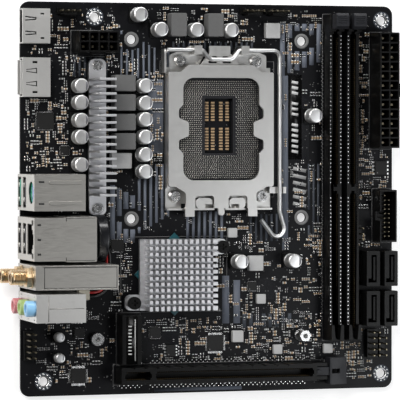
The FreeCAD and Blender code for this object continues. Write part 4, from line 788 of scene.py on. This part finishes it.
def vias_and_tracks():
    """Tiny plated vias in the free areas, solder rows of the slots, and fanned tracks."""
    spots = np.round(rng.uniform((2, 2), (168, 168), (2600, 2)) * 2.5) / 2.5
    cells = (spots / CELL).astype(int)
    spots = spots[~TAKEN[cells[:, 0], cells[:, 1]]]
    dots = np.column_stack([spots, np.full(len(spots), TOP)])
    turned_pieces("vias", [(0, 0), (0.22, 0), (0.2, 0.02), (0, 0.02)], dots, FINISH["ink_grey"],
                  sides=8)
    rows = []
    for x in (137.0, 145.0, 153.0):
        rows += [(x + 0.35 * (k % 2), 28.0 + 0.85 * k, TOP) for k in range(155)
                 if not 86.0 < 28.0 + 0.85 * k < 91.0]
    for x, z in ((137.3, TOP), (138.5, TOP + 7.6), (143.2, TOP + 7.6), (146.7, TOP + 7.6)):
        rows += [(x, 29.0 + 1.7 * k, z) for k in range(76) if not 86.0 < 29.0 + 1.7 * k < 91.0]
    rows += [(44.0 + 1.0 * k, 13.4 + 0.9 * (k % 2), TOP) for k in range(86) if not 10 < k < 14]
    rows += [(44.0 + 1.0 * k, 3.7 - 0.9 * (k % 2), TOP) for k in range(86) if not 10 < k < 14]
    turned_pieces("slot_solder_rows", [(0, 0), (0.28, 0), (0.24, 0.05), (0, 0.09)], rows,
                  FINISH["solder"], sides=10)
    places, sizes, turns = [], [], []
    for x, y, count, pitch, length, turn in ((112, 45, 22, 0.42, 22.0, 0.0), (100, 88, 14, 0.4, 14, 90),
                                             (128, 110, 14, 0.42, 40.0, 90.0),
                                             (70, 28, 26, 0.42, 16.0, 90.0),
                                             (108, 30, 18, 0.42, 18.0, 45.0),
                                             (58, 44, 12, 0.42, 15.0, 90.0)):
        step = np.arange(count) - (count - 1) / 2
        a = math.radians(turn)
        for k in step:
            places.append((x - k * pitch * math.sin(a), y + k * pitch * math.cos(a), TOP))
            sizes.append((length - abs(k) * 0.5, 0.16, 0.008))
            turns.append(turn)
    boxes("covered_tracks", places, sizes, FINISH["track"], np.array(turns))


# ------------------------------------------------------------------ socket, slots and chips
def socket_contacts():
    """Rows of sprung contact tips on the seat, none over the middle cavity."""
    low, high = span("socket_contact_field")
    x = np.arange(low[0] + 0.6, high[0] - 0.4, 1.0)
    y = np.arange(low[1] + 0.6, high[1] - 0.4, 0.86)
    gx, gy = np.meshgrid(x, y, indexing="ij")
    gx = gx + 0.25 * (np.arange(len(y))[None] % 2)
    inside = (abs(gx - 88.5) < 7.6) & (abs(gy - 116.8) < 13.1)
    spots = np.column_stack([gx[~inside], gy[~inside], np.full((~inside).sum(), high[2])])
    boxes("contact_tips", spots, (0.56, 0.28, 0.3), FINISH["contact"],
          np.where(spots[:, 0] < 88.5, 32.0, -32.0), chamfer=True)


def slot_contacts():
    """Single contact blades along both sides of every slot groove, in gold darkened as painted groove
    shade.
    """
    places, sizes = [], []
    for x in (140.8, 149.0):
        for y0, y1 in ((27.6, 86.4), (91.6, 156.0)):
            y = np.arange(y0, y1, 0.85)
            for side in (-1, 1):
                places += [(x + side * 1.12, v, TOP + 2.3) for v in y]
                sizes += [(0.34, 0.4, 4.3)] * len(y)
    for x0, x1 in ((45.0, 54.0), (58.6, 128.0)):
        x = np.arange(x0, x1, 1.0)
        for side in (-1, 1):
            places += [(v, 8.55 + side * 1.52, TOP + 3.4) for v in x]
            sizes += [(0.45, 0.34, 6.4)] * len(x)
    blades = boxes("slot_contact_blades", places, sizes, FINISH["blade"],
                   chamfer=True)
    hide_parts("slot_contacts")


CHIP_SIZES = [(87.5, 21.5, 7.0, 7.0, 12, 1.1), (25.5, 8.5, 6.4, 6.4, 11, 1.1),
              (10.8, 118.8, 7.5, 7.5, 13, 0.25), (43.0, 64.7, 5.5, 5.3, 9, 0.25),
              (164.6, 98.2, 5.4, 6.0, 4, 1.2), (60.0, 26.5, 5.0, 5.0, 8, 0.25),
              (26.0, 27.0, 4.4, 4.4, 7, 0.25), (67.2, 18.6, 4.0, 5.0, 4, 1.0),
              (19.6, 106.0, 4.0, 4.0, 6, 0.25), (104.4, 46.2, 4.0, 4.0, 6, 0.25)]


def chip_leads():
    """Gull leads or flush pads round the moulded chips, and a pin-one dot on each."""
    places, sizes, dots = [], [], []
    for x, y, w, d, count, reach in CHIP_SIZES:
        steps = (np.arange(count) - (count - 1) / 2)
        pitch_y = (d - 0.9) / (count - 1)
        pitch_x = (w - 0.9) / (count - 1)
        for side in (-1, 1):
            places += [(x + side * (w / 2 + reach / 2 - 0.05), y + k * pitch_y, TOP + 0.01)
                       for k in steps]
            sizes += [(reach, pitch_y * 0.5, 0.16)] * count
            if count > 4:
                places += [(x + k * pitch_x, y + side * (d / 2 + reach / 2 - 0.05), TOP + 0.01)
                           for k in steps]
                sizes += [(pitch_x * 0.5, reach, 0.16)] * count
        high = {87.5: 1.0, 25.5: 1.0, 10.8: 1.0, 164.6: 1.6, 67.2: 1.2}.get(x, 0.9)
        dots.append((x - w / 2 + 0.8, y - d / 2 + 0.8, TOP + high))
    boxes("chip_leads", places, sizes, FINISH["solder"], chamfer=True)
    turned_pieces("pin_one_dots", [(0, 0), (0.28, 0), (0.28, 0.012), (0, 0.012)], dots,
                  FINISH["ink_grey"], sides=16)


# ------------------------------------------------------------------ turned and coiled parts
def cans():
    """Crimped capacitor cans with a dark polarity segment on top of each."""
    big = [(25.2, 133.9), (25.2, 126.8), (25.2, 119.1), (25.2, 111.9), (25.2, 100.0),
           (53.8, 134.1), (53.8, 126.6), (53.8, 119.5), (53.8, 111.9), (53.8, 104.3),
           (53.8, 96.9), (51.6, 164.9), (60.8, 158.5), (77.0, 158.5), (92.8, 158.5),
           (131.4, 121.3), (97.3, 57.3), (121.9, 57.4)]
    small = [(16.3, 25.6), (16.4, 16.6)]
    for name, places, r, h in (("big", big, 3.15, 8.6), ("small", small, 2.1, 5.4)):
        profile = [(0, 1.5), (r - 0.05, 1.5), (r, 1.6), (r, 2.35), (r - 0.2, 2.5), (r - 0.2, 2.75),
                   (r, 2.95), (r, h - 0.55), (r - 0.12, h - 0.2), (r - 0.4, h - 0.02),
                   (r - 0.6, h), (0, h)]
        spots = [(x, y, TOP) for x, y in places]
        turned_pieces(name + "_cans", profile, spots, FINISH["can"], sides=48,
                      stands_for=("capacitor_cans",))
        a = np.linspace(math.radians(-50), math.radians(50), 24)
        edge = np.column_stack([(r - 0.5) * np.cos(a), (r - 0.5) * np.sin(a)])
        n = len(edge)
        points = np.concatenate([np.column_stack([edge, np.zeros(n)]),
                                 np.column_stack([edge, np.full(n, 0.02)])])
        k = np.arange(1, n - 1)
        top = np.stack([np.full(n - 2, n), n + k, n + k + 1], -1)
        under = np.stack([np.zeros(n - 2, int), k + 1, k], -1)
        j = np.arange(n)
        side = np.concatenate([np.stack([j, (j + 1) % n, n + (j + 1) % n], -1),
                               np.stack([j, n + (j + 1) % n, n + j], -1)])
        lifted = [(x, y, TOP + h) for x, y in places]
        points, faces = repeated(points, np.concatenate([top, under, side]), lifted, 1.0)
        mesh_piece(name + "_can_marks", points, faces, FINISH["can_mark"])


def aerials():
    """Threaded gold aerial sockets with a white insulator and a centre pin."""
    thread = []
    for k in range(9):
        h = 2.0 + k * 0.7
        thread += [(3.17, h), (3.17, h + 0.18), (2.9, h + 0.36), (2.9, h + 0.5)]
    profile = ([(0, -4.0), (3.0, -4.0), (3.17, -3.8), (3.17, 2.0)] + thread
               + [(3.17, 8.5), (3.1, 9.2), (2.9, 9.4), (2.1, 9.4), (1.95, 9.2), (1.9, 1.2), (0, 1.2)])
    spots = [(-1.0, 52.6, TOP + up) for up in (6.6, 25.2)]
    turned_pieces("aerial_barrels", profile, spots, FINISH["gold"], sides=48,
                  axis="-x", stands_for=("aerial_sockets",))
    turned_pieces("aerial_insulators", [(0, 1.2), (1.88, 1.2), (1.88, 5.2), (0.8, 5.2), (0.7, 4.6),
                                        (0, 4.6)], spots, FINISH["paper"], sides=32,
                  axis="-x")
    turned_pieces("aerial_centre_pins", [(0, 1.0), (0.5, 1.0), (0.5, 5.8), (0.3, 6.1), (0, 6.1)],
                  spots, FINISH["gold"], sides=16, axis="-x")


def collars():
    """Three coloured collars with rolled lips round the audio bores."""
    for name, up, look in (("low", 6.0, "pink"), ("middle", 18.0, "lime"), ("high", 30.0, "blue")):
        profile = [(0, 1.0), (1.95, 1.0), (1.82, 1.2), (1.82, 3.7), (2.1, 4.0), (2.9, 4.0),
                   (3.3, 3.75), (3.4, 3.4), (3.4, 0.6), (3.1, 0.5), (3.1, -0.35), (0, -0.35)]
        turned_pieces("audio_collar_" + name, profile[::-1], [(-0.9, 39.7, TOP + up)],
                      FINISH[look], sides=48, axis="-x",
                      stands_for=("audio_collars",))


def springs():
    """Coiled wire springs under the heads of the chipset cooler's two push pins."""
    low, high = span("push_pin_springs")
    turns, per, sides, wire, radius = 4.5, 28, 10, 0.24, 2.0
    t = np.linspace(0, 1, int(turns * per))
    a = 2 * np.pi * turns * t
    centre_line = np.stack([radius * np.cos(a), radius * np.sin(a),
                            wire + t * (high[2] - low[2] - 2 * wire)], -1)
    out = np.stack([np.cos(a), np.sin(a), np.zeros_like(a)], -1)
    around = np.linspace(0, 2 * np.pi, sides, endpoint=False)
    tube = (centre_line[:, None] + wire * (np.cos(around)[None, :, None] * out[:, None]
                                           + np.sin(around)[None, :, None] * [0, 0, 1.0]))
    points = np.concatenate([tube.reshape(-1, 3), centre_line[:1], centre_line[-1:]])
    rows, k = np.arange(len(t) - 1)[:, None] * sides, np.arange(sides)[None]
    nxt = (k + 1) % sides
    quads = np.stack([rows + k, rows + nxt, rows + sides + nxt, rows + sides + k], -1).reshape(-1, 4)
    faces = np.concatenate([quads[:, [0, 2, 1]], quads[:, [0, 3, 2]]])
    first, last = len(tube) * sides, len(tube) * sides + 1
    end = (len(t) - 1) * sides
    k, nxt = k[0], nxt[0]
    caps = [np.stack([np.full(sides, first), nxt, k], -1)[:, [0, 2, 1]],
            np.stack([np.full(sides, last), end + nxt, end + k], -1)]
    faces = np.concatenate([faces] + caps)
    spots = [(low[0] + 2.3, low[1] + 2.3, low[2]), (high[0] - 2.3, high[1] - 2.3, low[2])]
    points, faces = repeated(points, faces, spots, 1.0)
    mesh_piece("cooler_springs", points, faces, FINISH["wire_steel"], smooth=60.0,
               stands_for=("push_pin_springs",))


def solder_joints():
    """Solder cones on the underside at the tails of the header and socket pins."""
    spots = []
    for x, y, columns, rows, pitch in ((162.3, 109.5, 2, 12, 4.2), (25.5, 150.7, 4, 2, 4.2),
                                       (158.9, 15.0, 2, 5, 2.54), (164.6, 15.0, 1, 4, 2.54),
                                       (2.3, 17.0, 2, 5, 2.54), (17.0, 166.2, 4, 1, 2.54),
                                       (99.9, 167.2, 4, 1, 2.54), (111.3, 167.2, 4, 1, 2.54),
                                       (153.6, 66.4, 1, 3, 2.54), (164.2, 67.9, 2, 10, 2.0)):
        spots += [(x + i * pitch, y + j * pitch, -1.25) for i in range(columns) for j in range(rows)]
    for x in (138.6, 140.8, 143.0, 146.8, 149.0, 151.2):
        spots += [(x, 28.0 + 1.7 * k, -1.25) for k in range(76)]
    spots += [(44.0 + k * 2.0, 8.55 + (2.0 if k % 2 else -2.0), -1.25) for k in range(43)]
    for x0, y0, n in ((4.0, 84.0, 5), (4.0, 62.5, 7), (3.0, 155.0, 4), (3.0, 132.5, 5), (5.0, 36.5, 4)):
        spots += [(x0 + 2.6 * (k % 2), y0 + 2.2 * k, -1.25) for k in range(n)]
        spots += [(x0 + 8.0, y0 + 2.2 * k, -1.25) for k in range(n)]
    turned_pieces("solder_cones", [(0, 0), (0.2, 0), (0.28, 0.35), (0.42, 0.85), (0.62, 1.15),
                                   (0.72, 1.25), (0, 1.25)], spots, FINISH["solder"],
                  sides=12)


# ------------------------------------------------------------------ labels and socket faces
def labels():
    """Black sticker with a plain white rule and bars by the drive socket, pale grey bars, and a black
    label panel with plain white bars.
    """
    boxes("drive_sticker", [(47.5, 24.05, TOP + 8.2)], [(5.0, 21.0, 0.06)], FINISH["label"])
    boxes("sticker_rule", [(48.9, 24.05, TOP + 8.26)], [(0.35, 18.0, 0.01)], FINISH["ink"])
    boxes("sticker_bars", [(46.6, 18.0 + 1.5 * k, TOP + 8.26) for k in range(9)],
          [(1.5, 0.55, 0.01)], FINISH["ink"])
    bars = [(126.6, 82.0 + 3.1 * k, TOP) for k in range(6)]
    boxes("plain_mark_bars", bars, [(6.2, 1.5, 0.015)], FINISH["ink_mid"], turns=-12.0)
    boxes("plain_label_panel", [(124.4, 120.7, TOP)], [(6.4, 37.4, 0.018)], FINISH["label"])
    boxes("plain_label_bars", [(124.4, 105.5 + 2.35 * k, TOP + 0.018) for k in range(14)
                               if k not in (6, 10)],
          [(3.0, 1.2, 0.014)], FINISH["ink"], turns=-10.0)


def seams():
    """Painted shadow strips on the seams of the folded covers, painted shade along the audio cover's
    creases, and the springs in the ports' mouths.
    """
    # dark strips painted as the shadow along the radio bracket's panel border and the other covers' flap
    # seams
    top = TOP + 32.4
    places = [(18.6, 48.25, top), (18.6, 56.95, top), (2.9, 52.6, top), (34.3, 52.6, top)]
    sizes = [(31.8, 0.28, 0.03), (31.8, 0.28, 0.03), (0.3, 8.9, 0.03), (0.3, 8.9, 0.03)]
    top = TOP + 31.2
    places += [(12.6, 60.4, top), (12.6, 77.0, top), (18.8, 59.75, top), (18.8, 77.65, top)]
    sizes += [(0.3, 1.4, 0.03), (0.3, 1.4, 0.03), (12.4, 0.22, 0.03), (12.4, 0.22, 0.03)]
    places += [(0.9, 68.7 + y, top) for y in (-6.2, 0.0, 6.2)]
    sizes += [(1.5, 0.9, 0.03)] * 3
    places += [(1.9, 88.35 + y, top) for y in (-4.6, 4.6)]
    sizes += [(2.4, 0.8, 0.03)] * 2
    boxes("cover_seam_shadows", places, sizes, FINISH["seam"])
    # lines painted as shade along the audio cover's folds
    top = TOP + 33.6
    boxes("audio_crease_shade", [(12.2, 39.7, top), (4.4, 39.7, top)], [(15.0, 0.3, 0.03), (0.3, 11.0, 0.03)],
          FINISH["crease"])
    places = [(-0.2, y + side * 3.1, TOP + up - 2.8) for y in (88.35, 68.7) for up in (3.9, 12.9)
              for side in (-1, 1)]
    boxes("port_springs", places, (1.6, 1.9, 0.5), FINISH["shell_pale"], chamfer=True)
    places = [(4.5, 68.7, TOP + 3.7), (4.5, 68.7, TOP + 12.7), (4.5, 88.35, TOP + 12.7)]
    boxes("port_tongues", places, (11.0, 10.7, 2.0), FINISH["plastic_grey"],
          chamfer=True)


def keyboard_face():
    """Green tongue of the lowest port, and the round socket's violet half disc."""
    boxes("green_port_tongue", [(4.6, 88.35, TOP + 3.6)], [(11.3, 11.1, 2.2)], FINISH["teal"],
          chamfer=True)
    a = np.linspace(0, np.pi, 24)
    r = 4.55
    edge = np.column_stack([np.zeros(24), r * np.cos(a), r * np.sin(a)])
    n = len(edge)
    points = np.concatenate([edge, edge + [-0.04, 0, 0]])
    k = np.arange(1, n - 1)
    front = np.stack([np.full(n - 2, n), n + k + 1, n + k], -1)
    back = np.stack([np.zeros(n - 2, int), k, k + 1], -1)
    j = np.arange(n)
    rim = np.concatenate([np.stack([j, n + (j + 1) % n, (j + 1) % n], -1),
                          np.stack([j, n + j, n + (j + 1) % n], -1)])
    points, faces = repeated(points, np.concatenate([front, back, rim]),
                             [(-0.6, 88.35, TOP + 25.3)], 1.0)
    mesh_piece("keyboard_violet_half", points, faces, FINISH["violet"])


camera()
studio()
finished_copies()
board_print()
outlines()
small_parts()
vias_and_tracks()
socket_contacts()
slot_contacts()
chip_leads()
cans()
aerials()
collars()
springs()
solder_joints()
labels()
seams()
keyboard_face()
